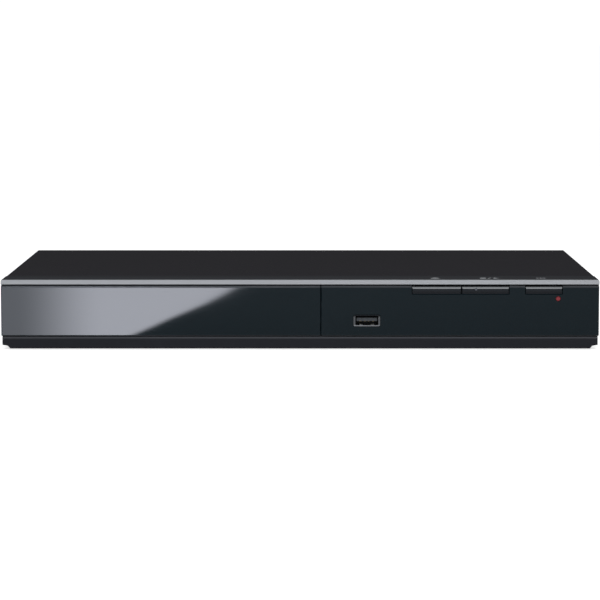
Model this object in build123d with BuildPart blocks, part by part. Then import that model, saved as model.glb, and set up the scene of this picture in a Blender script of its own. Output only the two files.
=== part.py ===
"""Slim disc player with a motor-driven disc tray, in millimetres.

X runs to the right seen from the front, Y to the rear and Z up. The origin is on the table, under the
middle of the whole object. Depths called d are measured from the front face to the rear.
"""

import os
from math import acos, atan2, cos, pi, radians, sin, tan

from build123d import *

os.makedirs("parts", exist_ok=True)

# Case, outside
case_width = 325.0
seam_x = 11.3
skirt_stand = 0.7
skirt_height = 6.6
skirt_setback = 0.1
skirt_shoulder = 1.3
skirt_inset = 0.7
skirt_corner_height = 2.0
skirt_corner_width = 4.2
skirt_step_height = 1.5
skirt_step_width = 2.9
edge_round = 1.4
joint_gap = 0.3
panel_height = 27.35
panel_thickness = 3.4
panel_bulge = 0.1
panel_round = 0.45
strip_gap = 0.65
strip_height = 2.9
strip_thickness = 1.2
ledge_depth = 20.3
plastic_wall = 2.0
bezel_side = 1.2
cover_sheet = 0.7
chassis_sheet = 0.8
chassis_wall_height = 13.0
floor_lift = 2.3
barrel_reach = 9.0
foot_radius = 9.0
foot_inset = 28.0

# Clearances
sheet_gap = 0.2
move_gap = 0.3
running_gap = 0.06
screw_gap = 0.2

# Screws
screw_radius = 1.3
screw_head_radius = 2.8
screw_head_height = 1.4
cross_width = 0.6
cross_length = 3.4
cross_depth = 0.6

# Disc, tray and loader
disc_radius = 60.0
disc_clearance = 0.6
small_disc_radius = 41.0
small_disc_depth = 0.8
tray_rim = 6.2
tray_plate = 2.5
tray_edge = 2.8
tray_edge_height = 3.0
tray_wall = 1.6
front_land = 19.4
tray_tail = 39.8
disc_overhang = 2.0
window_half = 18.0
loader_front = 16.0
loader_wall = 2.0
loader_tail = 6.0
boss_reach = 3.0
boss_radius = 3.2
bridge_rise = 3.0
bridge_sheet = 1.0
mouth_sill = 1.7
mouth_head = 2.1
rear_room = 12.0
deck_height = 5.0
deck_thickness = 1.8

# Tray drive
pressure_angle = radians(20)
backlash = 0.16
rack_module = 1.0
rack_gear_teeth = 18
rack_side = 47.0
rack_height = 2.8
gear_module = 0.8
wheel_teeth = 44
pinion_teeth = 14
gear_face = 3.2
gear_d = 36.0
pulley_radius = 12.0
motor_pulley_radius = 4.0
belt_size = 1.2
pulley_height = 2.8
belt_run = 31.0
axle_radius = 1.5
shaft_radius = 1.0
feed_shaft_radius = 0.6
motor_radius = 12.0
motor_turret_wall = 1.6

# Traverse
ring_half = 50.0
ring_beam = 5.0
ring_front_beam = 7.0
ring_height = 3.2
ring_front = 60.0
ring_rear = 167.5
traverse_angle = radians(2.8)
pivot_radius = 1.5
plate_sheet = 1.0
damper_height = 1.0
rod_radius = 1.5
rod_left = -26.0
rod_right = 22.0
pickup_front = 94.0
pickup_length = 28.0
sled_travel = 34.0
lens_reach = 24.0
turntable_radius = 14.5
hub_radius = 7.4
cam_travel = 12.0
cam_pin_radius = 1.3
feed_module = 0.7
feed_pinion_teeth = 14
feed_wheel_teeth = 28
feed_d = 120.0
plate_half = 45.4
damper_side = 41.0

# Keys, lamp and USB socket, placed from the middle of the front
key_height = 3.8
key_drop = 0.55
key_setback = 0.1
key_groove = 0.5
key_groove_depth = 0.4
key_groove_drop = 2.9
key_travel = 0.5
key_slope = 1.1
key_slope_depth = 0.5
stem_width = 6.0
stem_height = 2.4
collar_width = 9.0
open_key = (60.9, 87.4)
play_key = (88.0, 113.4)
power_key = (122.5, 142.3)
play_nub_x = 95.6
lamp_x = 140.2
lamp_drop = 7.1
lamp_radius = 1.35
lamp_gap = 0.08
usb_x = 36.3
usb_rise = 8.3
usb_width = 13.1
usb_height = 5.7
usb_rim_width = 14.7
usb_rim_height = 6.3
usb_rim_corner = 1.1
usb_tongue_height = 1.8
usb_tongue_drop = 0.3
usb_tongue_width = 11.1
usb_tongue_setback = 1.4
usb_block = 2.4
board_thickness = 1.6
front_board_d = 12.4
switch_height = 3.5

# Rear sockets and inlet
barrel_radius = 4.15
barrel_wall = 0.55
barrel_pitch = 14.0
row_pitch = 13.2
socket_left = 22.0
inlet_width = 21.0
inlet_height = 15.0

# Levels and places worked out from the sizes above
half = case_width / 2
screw_hole = screw_radius + screw_gap
z_skirt = skirt_stand
z_skirt_top = z_skirt + skirt_height
z_panel = z_skirt_top + joint_gap
z_panel_top = z_panel + panel_height
z_strip = z_panel_top + strip_gap
z_top = z_strip + strip_height
z_under = z_skirt + floor_lift
z_floor = z_under + chassis_sheet
z_ceiling = z_top - 0.1 - cover_sheet
z_deck = z_floor + deck_height
z_deck_top = z_deck + deck_thickness
z_gear = z_deck_top + 0.4
z_pulley = z_gear + gear_face + 0.4
z_tray = z_pulley + pulley_height + 0.6
z_recess = z_tray + tray_plate
z_rim = z_tray + tray_rim
z_plate = z_tray - 2.0 - plate_sheet
z_ring = z_plate - damper_height - ring_height
z_pivot = z_ring + ring_height / 2
z_rod = z_ring + 1.0
z_board = z_floor + 5.2

recess_radius = disc_radius + disc_clearance
tray_half = recess_radius + tray_wall + tray_edge
disc_d = front_land + recess_radius
tray_rear = disc_d + recess_radius + tray_wall + tray_tail
tray_travel = disc_d + disc_radius + disc_overhang
loader_rear = tray_rear + loader_tail
case_depth = loader_rear + rear_room
rear_d = case_depth - cover_sheet - move_gap - chassis_sheet
overall_depth = case_depth + barrel_reach
front_y = -overall_depth / 2
tray_x = (seam_x - half) / 2
wall_front = panel_thickness
wall_back = wall_front + plastic_wall
lid_back = panel_thickness - move_gap
cover_half = half - 0.3
chassis_half = half - skirt_inset - bezel_side - sheet_gap
inner_half = chassis_half - chassis_sheet
frame_inner = tray_half + move_gap
frame_outer = frame_inner + loader_wall

rack_gear_radius = rack_module * rack_gear_teeth / 2
wheel_radius = gear_module * wheel_teeth / 2
pinion_radius = gear_module * pinion_teeth / 2
gear_x = rack_gear_radius - rack_side
pulley_x = gear_x + wheel_radius + pinion_radius
motor_x = pulley_x + belt_run
motor_d = gear_d - 2.0
feed_pinion_radius = feed_module * feed_pinion_teeth / 2
feed_wheel_radius = feed_module * feed_wheel_teeth / 2
feed_rack_x = 29.4
feed_x = feed_rack_x + feed_pinion_radius
feed_motor_x = feed_x + 4.1
feed_gears_apart = feed_wheel_radius + feed_pinion_radius
feed_motor_d = feed_d - (feed_gears_apart**2 - (feed_motor_x - feed_x) ** 2) ** 0.5
pivot_d = ring_rear - ring_front_beam / 2
lens_d = disc_d + lens_reach
cam_pin_d = ring_front - 2.5
cam_drop = (pivot_d - cam_pin_d) * sin(traverse_angle)
z_cam_pin = z_ring + 1.8


def deep(distance):
    """Y of a plane at this distance behind the front face."""
    return front_y + distance


def off(offset):
    """X of a plane at this distance to the right of the tray's middle."""
    return tray_x + offset


def about(middle, size):
    """The two ends of a length laid about its middle."""
    return (middle - size / 2, middle + size / 2)


def slab(xs, ys, zs, mode=Mode.ADD):
    """A block between two places on each axis."""
    with Locations((xs[0], ys[0], zs[0])):
        Box(xs[1] - xs[0], ys[1] - ys[0], zs[1] - zs[0], align=(Align.MIN,) * 3, mode=mode)


def drum(x, y, zs, radius, mode=Mode.ADD):
    """An upright cylinder between two heights."""
    with Locations((x, y, (zs[0] + zs[1]) / 2)):
        Cylinder(radius, zs[1] - zs[0], mode=mode)


def bar_y(x, ys, z, radius, mode=Mode.ADD):
    """A cylinder that runs from front to rear."""
    with Locations((x, (ys[0] + ys[1]) / 2, z)):
        Cylinder(radius, ys[1] - ys[0], rotation=(90, 0, 0), mode=mode)


def bar_x(xs, y, z, radius, mode=Mode.ADD):
    """A cylinder that runs from left to right."""
    with Locations(((xs[0] + xs[1]) / 2, y, z)):
        Cylinder(radius, xs[1] - xs[0], rotation=(0, 90, 0), mode=mode)


def wheel_points(teeth, module, phase):
    """Outline of a gear about its own centre: involute flanks in short straight steps.

    phase is the angle of one tooth's middle. A tooth's half angle at a radius is its half angle at the
    pitch circle, plus the involute function there, less the involute function at that radius.
    """
    pitch = module * teeth / 2
    base = pitch * cos(pressure_angle)
    tip = pitch + 0.8 * module
    root = pitch - module
    half_tooth = (pi * module / 2 - backlash) / (2 * pitch)

    def half_angle(radius):
        roll = acos(min(1.0, base / radius))
        return half_tooth + tan(pressure_angle) - pressure_angle - (tan(roll) - roll)

    low = max(root, base)
    flank = [(low + (tip - low) * step / 3) for step in range(4)]
    sides = [(radius, half_angle(radius)) for radius in flank]
    if root < base:
        sides = [(root, half_angle(base))] + sides
    points = []
    for tooth in range(teeth):
        middle = phase + 2 * pi * tooth / teeth
        rising = [(radius, middle - angle) for radius, angle in sides]
        falling = [(radius, middle + angle) for radius, angle in reversed(sides)]
        points += [(radius * cos(turn), radius * sin(turn)) for radius, turn in rising + falling]
    return points


def gear(x, y, zs, teeth, module, phase):
    """A spur gear between two heights, with its teeth cut square to its faces."""
    with BuildSketch(Plane((x, y, zs[0]))) as outline:
        Polygon(*wheel_points(teeth, module, phase), align=None)
    extrude(outline.sketch, amount=zs[1] - zs[0])


def rack_teeth(x_pitch, back, y_first, count, module, zs):
    """A toothed bar along Y with its teeth pointing to +X, one tooth centred on y_first."""
    pitch = pi * module
    at_pitch = pitch / 4 - backlash / 4
    root_half = at_pitch + module * tan(pressure_angle)
    tip_half = at_pitch - 0.8 * module * tan(pressure_angle)
    points = []
    for tooth in range(count):
        middle = y_first + tooth * pitch
        points.append((x_pitch - module, middle - root_half))
        points.append((x_pitch + 0.8 * module, middle - tip_half))
        points.append((x_pitch + 0.8 * module, middle + tip_half))
        points.append((x_pitch - module, middle + root_half))
    end = y_first + (count - 1) * pitch + root_half
    points += [(back, end), (back, y_first - root_half)]
    with BuildSketch(Plane.XY.offset(zs[0])) as outline:
        Polygon(*points, align=None)
    extrude(outline.sketch, amount=zs[1] - zs[0])


def front_skin(panel, xs, back):
    """The glossy front's section, slightly bulged and rounded at its edges, carried along X."""
    crown = z_panel + panel_height * 2 / 3
    with BuildSketch(Plane.YZ.offset(xs[0])) as section:
        with BuildLine():
            top = (deep(panel_bulge * 0.5), z_panel_top)
            low = (deep(panel_bulge * 2), z_panel)
            ThreePointArc(low, (deep(0), crown), top)
            Polyline(top, (deep(back), z_panel_top), (deep(back), z_panel), low)
        make_face()
        fillet(section.vertices().sort_by(Axis.X)[:2], panel_round)
    extrude(section.sketch, amount=xs[1] - xs[0])
    ends = panel.edges().filter_by(GeomType.CIRCLE).filter_by(lambda edge: edge.length > panel_height / 2)
    fillet(ends, 0.5)


def screw_down(x, y, z_seat, length):
    """A pan-head screw pointing down, its head's underside on z_seat."""
    z_head = z_seat + screw_head_height
    drum(x, y, (z_seat, z_head), screw_head_radius)
    drum(x, y, (z_seat - length, z_seat), screw_radius)
    for sizes in ((cross_width, cross_length), (cross_length, cross_width)):
        slab(about(x, sizes[0]), about(y, sizes[1]), (z_head - cross_depth, z_head + 1), mode=Mode.SUBTRACT)


def screw_forward(x, y_seat, z, length):
    """A pan-head screw pointing to the front, its head's underside on y_seat."""
    y_head = y_seat + screw_head_height
    bar_y(x, (y_seat, y_head), z, screw_head_radius)
    bar_y(x, (y_seat - length, y_seat), z, screw_radius)
    for sizes in ((cross_width, cross_length), (cross_length, cross_width)):
        slab(about(x, sizes[0]), (y_head - cross_depth, y_head + 1), about(z, sizes[1]), mode=Mode.SUBTRACT)


# Places that several pieces share
foot_places = [
    (side * (half - foot_inset), deep(d)) for side in (-1, 1) for d in (34.0, case_depth - 24.0)
]
loader_screw_places = [
    (off(side * (frame_inner - 3.6)), deep(d)) for side in (-1, 1) for d in (22.0, loader_rear - 8.0)
]
bridge_places = [
    (off(side * (frame_outer + boss_reach)), deep(disc_d + d)) for side in (-1, 1) for d in (-14.0, 14.0)
]
damper_places = [
    (off(side * damper_side), deep(d))
    for side in (-1, 1)
    for d in (ring_front + 3.5, ring_rear - 3.5)
]
main_board_x = (seam_x - 4.0, 100.0)
main_board_d = (100.0, rear_d - 1.8)
power_board_x = (104.0, inner_half - 3.0)
power_board_d = (52.0, rear_d - 1.8)
board_places = [
    (x, deep(d))
    for board_x, first_d in ((main_board_x, 106.0), (power_board_x, 58.0))
    for x in (board_x[0] + 5, board_x[1] - 5)
    for d in (first_d, rear_d - 19.0)
]
front_board_x = (24.0, half - 5.5)
front_board_z = (z_floor + 5.0, z_top - plastic_wall - 0.8)
front_board_places = [(x, z_floor + 8.5) for x in (56.0, 104.0)]
front_board_places += [(x, z_top - plastic_wall - 4.4) for x in (29.0, half - 11.0)]
socket_columns = [socket_left + barrel_pitch * column for column in range(3)]
socket_rows = [z_board + board_thickness + 4.8, z_board + board_thickness + 4.8 + row_pitch]
digital_x = socket_columns[-1] + barrel_pitch + 4.0
socket_places = [(x, z) for x in socket_columns for z in socket_rows] + [(digital_x, socket_rows[0])]
z_rear_screw = z_ceiling - 4.2
cover_screw_xs = [-half + 42.0, 0.0, half - 42.0]
inlet_x = half - 27.0
inlet_z = z_board + board_thickness + inlet_height / 2
z_key = (z_panel_top - key_drop - key_height, z_panel_top - key_drop)
key_middle = (z_key[0] + z_key[1]) / 2
keys = {"open": open_key, "play": play_key, "power": power_key}
lamp_z = z_panel_top - lamp_drop
usb_z = z_panel + usb_rise
mouth_x = (off(-tray_half - 3.5), off(tray_half + 3.5))
mouth_z = (z_deck + mouth_sill, z_strip - mouth_head)

# Floor of the case: sheet steel with side walls, a front flange, board pillars and slots for air
with BuildPart() as bottom_chassis:
    slab((-chassis_half, chassis_half), (deep(6.2), deep(rear_d)), (z_under, z_floor))
    for side in (-1, 1):
        wall = sorted((side * chassis_half, side * inner_half))
        slab(wall, (deep(8.0), deep(rear_d)), (z_floor, z_floor + chassis_wall_height))
    slab((-inner_half + 2, inner_half - 2), (deep(6.2), deep(6.2 + chassis_sheet)), (z_floor, z_floor + 2.6))
    for x, y in loader_screw_places:
        drum(x, y, (z_floor, z_deck), 3.4)
    for x, y in board_places:
        drum(x, y, (z_floor, z_board), 3.0)
    for x, y in loader_screw_places + board_places:
        drum(x, y, (z_under - 0.1, z_board + 0.1), screw_hole, mode=Mode.SUBTRACT)
    for row in range(8):
        for column in range(3):
            slot = about(power_board_x[0] + 9 + column * 16, 11)
            slab(slot, about(deep(84 + row * 7), 2.4), (z_under - 0.1, z_floor + 0.1), mode=Mode.SUBTRACT)
    with BuildSketch(Plane.XY.offset(z_under)) as stiffener:
        with Locations((off(0), deep(disc_d + 20))):
            RectangleRounded(90, 70, 12)
            RectangleRounded(80, 60, 8, mode=Mode.SUBTRACT)
    extrude(amount=-0.5)
bottom_chassis.part.label = "bottom_chassis"
export_step(bottom_chassis.part, "parts/bottom_chassis.step")

# Cover: one sheet of steel folded over the top, both sides and, as a short flange, the rear
with BuildPart() as top_cover:
    with BuildSketch(Plane.XZ.offset(-deep(ledge_depth + sheet_gap))) as cover_section:
        cover_height = z_top - 0.1 - z_under - 0.4
        with Locations((0, z_under + 0.4 + cover_height / 2)):
            Rectangle(2 * cover_half, cover_height)
        fillet(cover_section.vertices().group_by(Axis.Y)[-1], 1.4)
        with Locations((0, z_under + 0.4 + (cover_height - cover_sheet) / 2 - 0.01)):
            Rectangle(2 * (cover_half - cover_sheet), cover_height - cover_sheet + 0.02, mode=Mode.SUBTRACT)
    extrude(amount=-(case_depth - ledge_depth - sheet_gap))
    flange_ys = (deep(case_depth - cover_sheet), deep(case_depth))
    slab((-cover_half + cover_sheet, cover_half - cover_sheet), flange_ys, (z_ceiling - 2.4, z_ceiling + 0.2))
    for x in cover_screw_xs:
        slab(about(x, 12), flange_ys, (z_rear_screw - 4.2, z_ceiling + 0.2))
        bar_y(x, (deep(case_depth - 2), deep(case_depth + 1)), z_rear_screw, screw_hole, mode=Mode.SUBTRACT)
    for side in (-1, 1):
        for slot in range(14):
            y = deep(case_depth - 26 - slot * 5.2)
            xs = about(side * cover_half, 4)
            slab(xs, about(y, 2.2), (z_top - 22.0, z_top - 11.0), mode=Mode.SUBTRACT)
top_cover.part.label = "top_cover"
export_step(top_cover.part, "parts/top_cover.step")

# Rear panel: steel plate with a foot folded onto the floor and holes for the sockets
with BuildPart() as rear_panel:
    slab((-inner_half, inner_half), (deep(rear_d), deep(rear_d + chassis_sheet)), (z_under, z_ceiling - 0.3))
    foot_zs = (z_floor, z_floor + chassis_sheet)
    slab((-inner_half, off(frame_outer)), (deep(rear_d - 7), deep(rear_d)), foot_zs)
    through = (deep(rear_d - 0.5), deep(rear_d + 2))
    for x, z in socket_places:
        bar_y(x, through, z, barrel_radius + 1.2, mode=Mode.SUBTRACT)
    inlet_hole = about(inlet_x, inlet_width + 2 * sheet_gap), about(inlet_z, inlet_height + 2 * sheet_gap)
    slab(inlet_hole[0], through, inlet_hole[1], mode=Mode.SUBTRACT)
    for x in cover_screw_xs:
        bar_y(x, through, z_rear_screw, screw_hole, mode=Mode.SUBTRACT)
    for slot in range(16):
        xs = about(off(-44 + slot * 5.6), 2.4)
        slab(xs, through, (z_floor + 9, z_floor + 21), mode=Mode.SUBTRACT)
rear_panel.part.label = "rear_panel"
export_step(rear_panel.part, "parts/rear_panel.step")

# Front frame: black plastic with the ledge, the skirt with cut corners, the tray mouth and the pillars
with BuildPart() as front_bezel:
    with BuildSketch(Plane.XZ.offset(-deep(skirt_setback))) as skirt:
        with BuildLine():
            edge = half - skirt_inset
            Polyline(
                (-edge, z_skirt_top),
                (-edge, z_skirt + skirt_corner_height),
                (-edge + skirt_step_width, z_skirt + skirt_step_height),
                (-edge + skirt_corner_width, z_skirt),
                (edge - skirt_corner_width, z_skirt),
                (edge - skirt_step_width, z_skirt + skirt_step_height),
                (edge, z_skirt + skirt_corner_height),
                (edge, z_skirt_top),
                close=True,
            )
        make_face()
    extrude(amount=-(ledge_depth - skirt_setback))
    lip = front_bezel.edges().group_by(Axis.Y)[0].group_by(Axis.Z)[-1]
    fillet(lip, skirt_shoulder)
    slab(
        (-edge + bezel_side, edge - bezel_side),
        (deep(wall_back), deep(ledge_depth + 1)),
        (z_skirt + 1.6, z_skirt_top + 1),
        mode=Mode.SUBTRACT,
    )
    slab((-half, half), (deep(strip_thickness), deep(ledge_depth)), (z_top - plastic_wall, z_top))
    slab((-half, half), (deep(strip_thickness), deep(wall_back)), (z_strip, z_top))
    slab((-half, half), (deep(wall_front), deep(wall_back)), (z_skirt_top - 0.1, z_top))
    for side in (-1, 1):
        wall = sorted((side * half, side * (half - bezel_side)))
        slab(wall, (deep(wall_front), deep(ledge_depth)), (z_skirt_top - 0.1, z_top))
    sides = front_bezel.edges().filter_by(Axis.Y).filter_by(lambda edge: edge.center().Z > z_top - 0.01)
    fillet(sides.filter_by(lambda edge: abs(edge.center().X) > half - 0.01), edge_round)
    through_wall = (deep(wall_front - 1), deep(wall_back + 1))
    slab(mouth_x, through_wall, mouth_z, mode=Mode.SUBTRACT)
    for left, right in keys.values():
        stem = about((left + right) / 2, stem_width + 2 * move_gap)
        slab(stem, through_wall, about(key_middle, stem_height + 2 * move_gap), mode=Mode.SUBTRACT)
    bar_y(lamp_x, through_wall, lamp_z, lamp_radius + move_gap, mode=Mode.SUBTRACT)
    usb_room = about(usb_x, usb_width + 0.8), about(usb_z, usb_height + 0.8)
    slab(usb_room[0], through_wall, usb_room[1], mode=Mode.SUBTRACT)
    for x, z in front_board_places:
        bar_y(x, (deep(wall_back), deep(front_board_d)), z, 2.8)
        bar_y(x, (deep(wall_back + 1), deep(front_board_d + 1)), z, screw_hole, mode=Mode.SUBTRACT)
front_bezel.part.label = "front_bezel"
export_step(front_bezel.part, "parts/front_bezel.step")

# Silver strip along the top edge of the front
with BuildPart() as trim_strip:
    slab((-half, half), (deep(0), deep(strip_thickness)), (z_strip, z_top))
    fillet(trim_strip.edges().filter_by(Axis.Y).group_by(Axis.Z)[-1], edge_round)
    fillet(trim_strip.edges().filter_by(Axis.X).group_by(Axis.Y)[0], 0.3)
trim_strip.part.label = "trim_strip"
export_step(trim_strip.part, "parts/trim_strip.step")

# Glossy panel at the right of the seam, with bays for the keys and holes for the lamp and the socket
with BuildPart() as front_panel:
    front_skin(front_panel, (seam_x + joint_gap / 2, half - 0.1), panel_thickness)
    for left, right in ((open_key[0], play_key[1]), power_key):
        slab(
            (left - move_gap, right + move_gap),
            (deep(-1), deep(panel_thickness + 1)),
            (z_key[0] - move_gap, z_panel_top + 1),
            mode=Mode.SUBTRACT,
        )
    shelf = front_panel.edges().filter_by(Axis.X).group_by(Axis.Y)[0]
    chamfer(shelf.filter_by(lambda edge: abs(edge.center().Z - z_key[0] + move_gap) < 0.01), 0.3)
    bar_y(lamp_x, (deep(-1), deep(panel_thickness + 1)), lamp_z, lamp_radius + lamp_gap, mode=Mode.SUBTRACT)
    with BuildSketch(Plane.XZ.offset(-deep(-1))) as usb_hole:
        with Locations((usb_x, usb_z)):
            RectangleRounded(usb_rim_width + 0.3, usb_rim_height + 0.3, usb_rim_corner + 0.15)
    extrude(amount=-(panel_thickness + 2), mode=Mode.SUBTRACT)
front_panel.part.label = "front_panel"
export_step(front_panel.part, "parts/front_panel.step")

# Glossy lid at the left of the seam, which the tray carries
with BuildPart() as tray_lid:
    front_skin(tray_lid, (-half + 0.1, seam_x - joint_gap / 2), lid_back)
tray_lid.part.label = "tray_lid"
export_step(tray_lid.part, "parts/tray_lid.step")

# Four round feet under the floor
with BuildPart() as rubber_feet:
    for x, y in foot_places:
        drum(x, y, (0, z_under), foot_radius)
    fillet(rubber_feet.edges().group_by(Axis.Z)[0], 0.8)
rubber_feet.part.label = "rubber_feet"
export_step(rubber_feet.part, "parts/rubber_feet.step")

# Screws that hold the cover to the rear panel
with BuildPart() as cover_screws:
    for x in cover_screw_xs:
        screw_forward(x, deep(case_depth), z_rear_screw, 6.0)
cover_screws.part.label = "cover_screws"
export_step(cover_screws.part, "parts/cover_screws.step")


def make_key(key, left, right, nub_x=None):
    """A key: the cap in the panel's bay, its stem through the front wall and its collar behind it."""
    middle = (left + right) / 2
    cap_back = wall_front - key_travel - move_gap
    slab((left, right), (deep(key_setback), deep(cap_back)), z_key)
    face = key.faces().sort_by(Axis.Y)[0]
    top_edge = face.edges().filter_by(Axis.X).sort_by(Axis.Z)[-1]
    chamfer(top_edge, key_slope, key_slope_depth, reference=face)
    ends = key.faces().sort_by(Axis.Y)[0].edges().filter_by(Axis.Z)
    fillet(ends, 0.5)
    groove_zs = about(z_key[1] - key_groove_drop, key_groove)
    slab((left - 1, right + 1), (deep(-1), deep(key_setback + key_groove_depth)), groove_zs, mode=Mode.SUBTRACT)
    stem_zs = about(key_middle, stem_height)
    slab(about(middle, stem_width), (deep(cap_back), deep(wall_back + 2.1)), stem_zs)
    collar_ys = (deep(wall_back + move_gap), deep(wall_back + move_gap + 0.8))
    slab(about(middle, collar_width), collar_ys, stem_zs)
    if nub_x:
        with Locations((nub_x, deep(0.55), z_key[1] - 1.5)):
            Sphere(0.5)


# The three keys
with BuildPart() as open_close_key:
    make_key(open_close_key, *open_key)
open_close_key.part.label = "open_close_key"
export_step(open_close_key.part, "parts/open_close_key.step")

with BuildPart() as play_key_cap:
    make_key(play_key_cap, *play_key, nub_x=play_nub_x)
play_key_cap.part.label = "play_key"
export_step(play_key_cap.part, "parts/play_key.step")

with BuildPart() as power_key_cap:
    make_key(power_key_cap, *power_key)
power_key_cap.part.label = "power_key"
export_step(power_key_cap.part, "parts/power_key.step")

# Front circuit board, upright behind the front wall
usb_depth = front_board_d - 0.2
with BuildPart() as front_board:
    slab(front_board_x, (deep(front_board_d), deep(front_board_d + board_thickness)), front_board_z)
    for x, z in front_board_places:
        ys = (deep(front_board_d - 1), deep(front_board_d + board_thickness + 1))
        bar_y(x, ys, z, screw_hole, mode=Mode.SUBTRACT)
front_board.part.label = "front_board"
export_step(front_board.part, "parts/front_board.step")

# Tact switches on the front board, one behind each key
switch_d = front_board_d - switch_height
with BuildPart() as key_switches:
    for left, right in keys.values():
        middle = (left + right) / 2
        slab(about(middle, 6), (deep(switch_d), deep(front_board_d)), about(key_middle, 6))
        bar_y(middle, (deep(switch_d - 0.5), deep(switch_d)), key_middle, 1.6)
key_switches.part.label = "key_switches"
export_step(key_switches.part, "parts/key_switches.step")

# Red lamp with its light guide, from the board to the front
with BuildPart() as standby_lamp:
    bar_y(lamp_x, (deep(0.35), deep(front_board_d)), lamp_z, lamp_radius)
    fillet(standby_lamp.edges().group_by(Axis.Y)[0], 0.4)
    bar_y(lamp_x, (deep(front_board_d - 4.5), deep(front_board_d)), lamp_z, 1.5)
standby_lamp.part.label = "standby_lamp"
export_step(standby_lamp.part, "parts/standby_lamp.step")

# USB socket: folded steel shell with a flared rim, and the tongue that holds the contacts
usb_sheet = 0.3
usb_inside = about(usb_x, usb_width - 2 * usb_sheet), about(usb_z, usb_height - 2 * usb_sheet)
with BuildPart() as usb_shell:
    slab(about(usb_x, usb_width), (deep(0.2), deep(usb_depth)), about(usb_z, usb_height))
    with BuildSketch(Plane.XZ.offset(-deep(0.2))) as rim:
        with Locations((usb_x, usb_z)):
            RectangleRounded(usb_rim_width, usb_rim_height, usb_rim_corner)
    extrude(amount=-0.8)
    fillet(usb_shell.faces().sort_by(Axis.Y)[0].edges(), 0.2)
    slab(usb_inside[0], (deep(-1), deep(usb_depth - usb_sheet)), usb_inside[1], mode=Mode.SUBTRACT)
usb_shell.part.label = "usb_shell"
export_step(usb_shell.part, "parts/usb_shell.step")

with BuildPart() as usb_tongue:
    slab(usb_inside[0], (deep(usb_depth - usb_block), deep(usb_depth - usb_sheet)), usb_inside[1])
    tongue_low = usb_z - usb_tongue_drop
    tongue_ys = (deep(usb_tongue_setback), deep(usb_depth - usb_block))
    slab(about(usb_x, usb_tongue_width), tongue_ys, (tongue_low, tongue_low + usb_tongue_height))
usb_tongue.part.label = "usb_tongue"
export_step(usb_tongue.part, "parts/usb_tongue.step")

# Loader frame: deck at the front, side walls with ledges that carry the tray, rear beam, gear posts
deck_rear = cam_pin_d - 3.0
frame_z_top = z_tray + tray_edge_height + move_gap + 1.7
z_turret = z_gear + gear_face
z_motor = z_turret - 1.2
with BuildPart() as loader_frame:
    deck_xs = (off(-frame_outer), off(frame_outer))
    slab(deck_xs, (deep(loader_front), deep(deck_rear)), (z_deck, z_deck_top))
    slab(deck_xs, (deep(ring_rear + 3), deep(loader_rear)), (z_deck, z_deck_top))
    for side in (-1, 1):
        wall = sorted((off(side * frame_inner), off(side * frame_outer)))
        slab(wall, (deep(loader_front), deep(loader_rear)), (z_deck, frame_z_top))
        ledge = sorted((off(side * (tray_half - tray_edge + 0.4)), off(side * frame_inner)))
        slab(ledge, (deep(loader_front), deep(loader_rear)), (z_tray - move_gap - 1.6, z_tray - move_gap))
        lip = sorted((off(side * (tray_half - tray_edge + move_gap)), off(side * frame_inner)))
        for start in (loader_front, disc_d - 8, loader_rear - 30):
            z_lip = z_tray + tray_edge_height + move_gap
            slab(lip, (deep(start), deep(start + 16)), (z_lip, z_lip + 1.7))
        for d in (-14.0, 14.0):
            x = off(side * (frame_outer + boss_reach))
            drum(x, deep(disc_d + d), (z_deck, z_rim + bridge_rise), boss_radius)
            web = sorted((off(side * (frame_outer - 0.5)), x))
            slab(web, about(deep(disc_d + d), 2.4), (z_deck, z_rim + 2.0))
        arm = sorted((off(side * (ring_half + 0.8)), off(side * (ring_half + 5.0))))
        slab(arm, (deep(pivot_d - 4), deep(ring_rear + 3.5)), (z_deck, z_pivot + pivot_radius + 1.0))
        beam = sorted((off(side * (ring_half + 7.0)), off(side * frame_inner)))
        slab(beam, (deep(deck_rear - 1), deep(ring_rear + 4)), (z_deck, z_deck_top))
    rail_xs = (off(-20), off(frame_inner - 6))
    slab(rail_xs, (deep(deck_rear - 2), deep(deck_rear)), (z_deck_top, z_turret + 0.1))
    drum(off(motor_x), deep(motor_d), (z_deck, z_turret), motor_radius + move_gap + motor_turret_wall)
    drum(off(motor_x), deep(motor_d), (z_floor, z_motor), motor_radius + move_gap, mode=Mode.SUBTRACT)
    drum(off(motor_x), deep(motor_d), (z_floor, z_pulley), 3.2, mode=Mode.SUBTRACT)
    drum(off(gear_x), deep(gear_d), (z_deck_top, z_tray - 0.5), axle_radius)
    drum(off(pulley_x), deep(gear_d), (z_deck_top, z_pulley + pulley_height), axle_radius)
    for x, y in loader_screw_places:
        drum(x, y, (z_deck - 1, z_deck_top + 1), screw_hole, mode=Mode.SUBTRACT)
    for x, y in bridge_places:
        drum(x, y, (z_rim - 5, z_rim + 4), screw_hole, mode=Mode.SUBTRACT)
    for side in (-1, 1):
        arm = sorted((off(side * (ring_half + 0.7)), off(side * (ring_half + 5.1))))
        bar_x(arm, deep(pivot_d), z_pivot, pivot_radius + running_gap, mode=Mode.SUBTRACT)
loader_frame.part.label = "loader_frame"
export_step(loader_frame.part, "parts/loader_frame.step")

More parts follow.
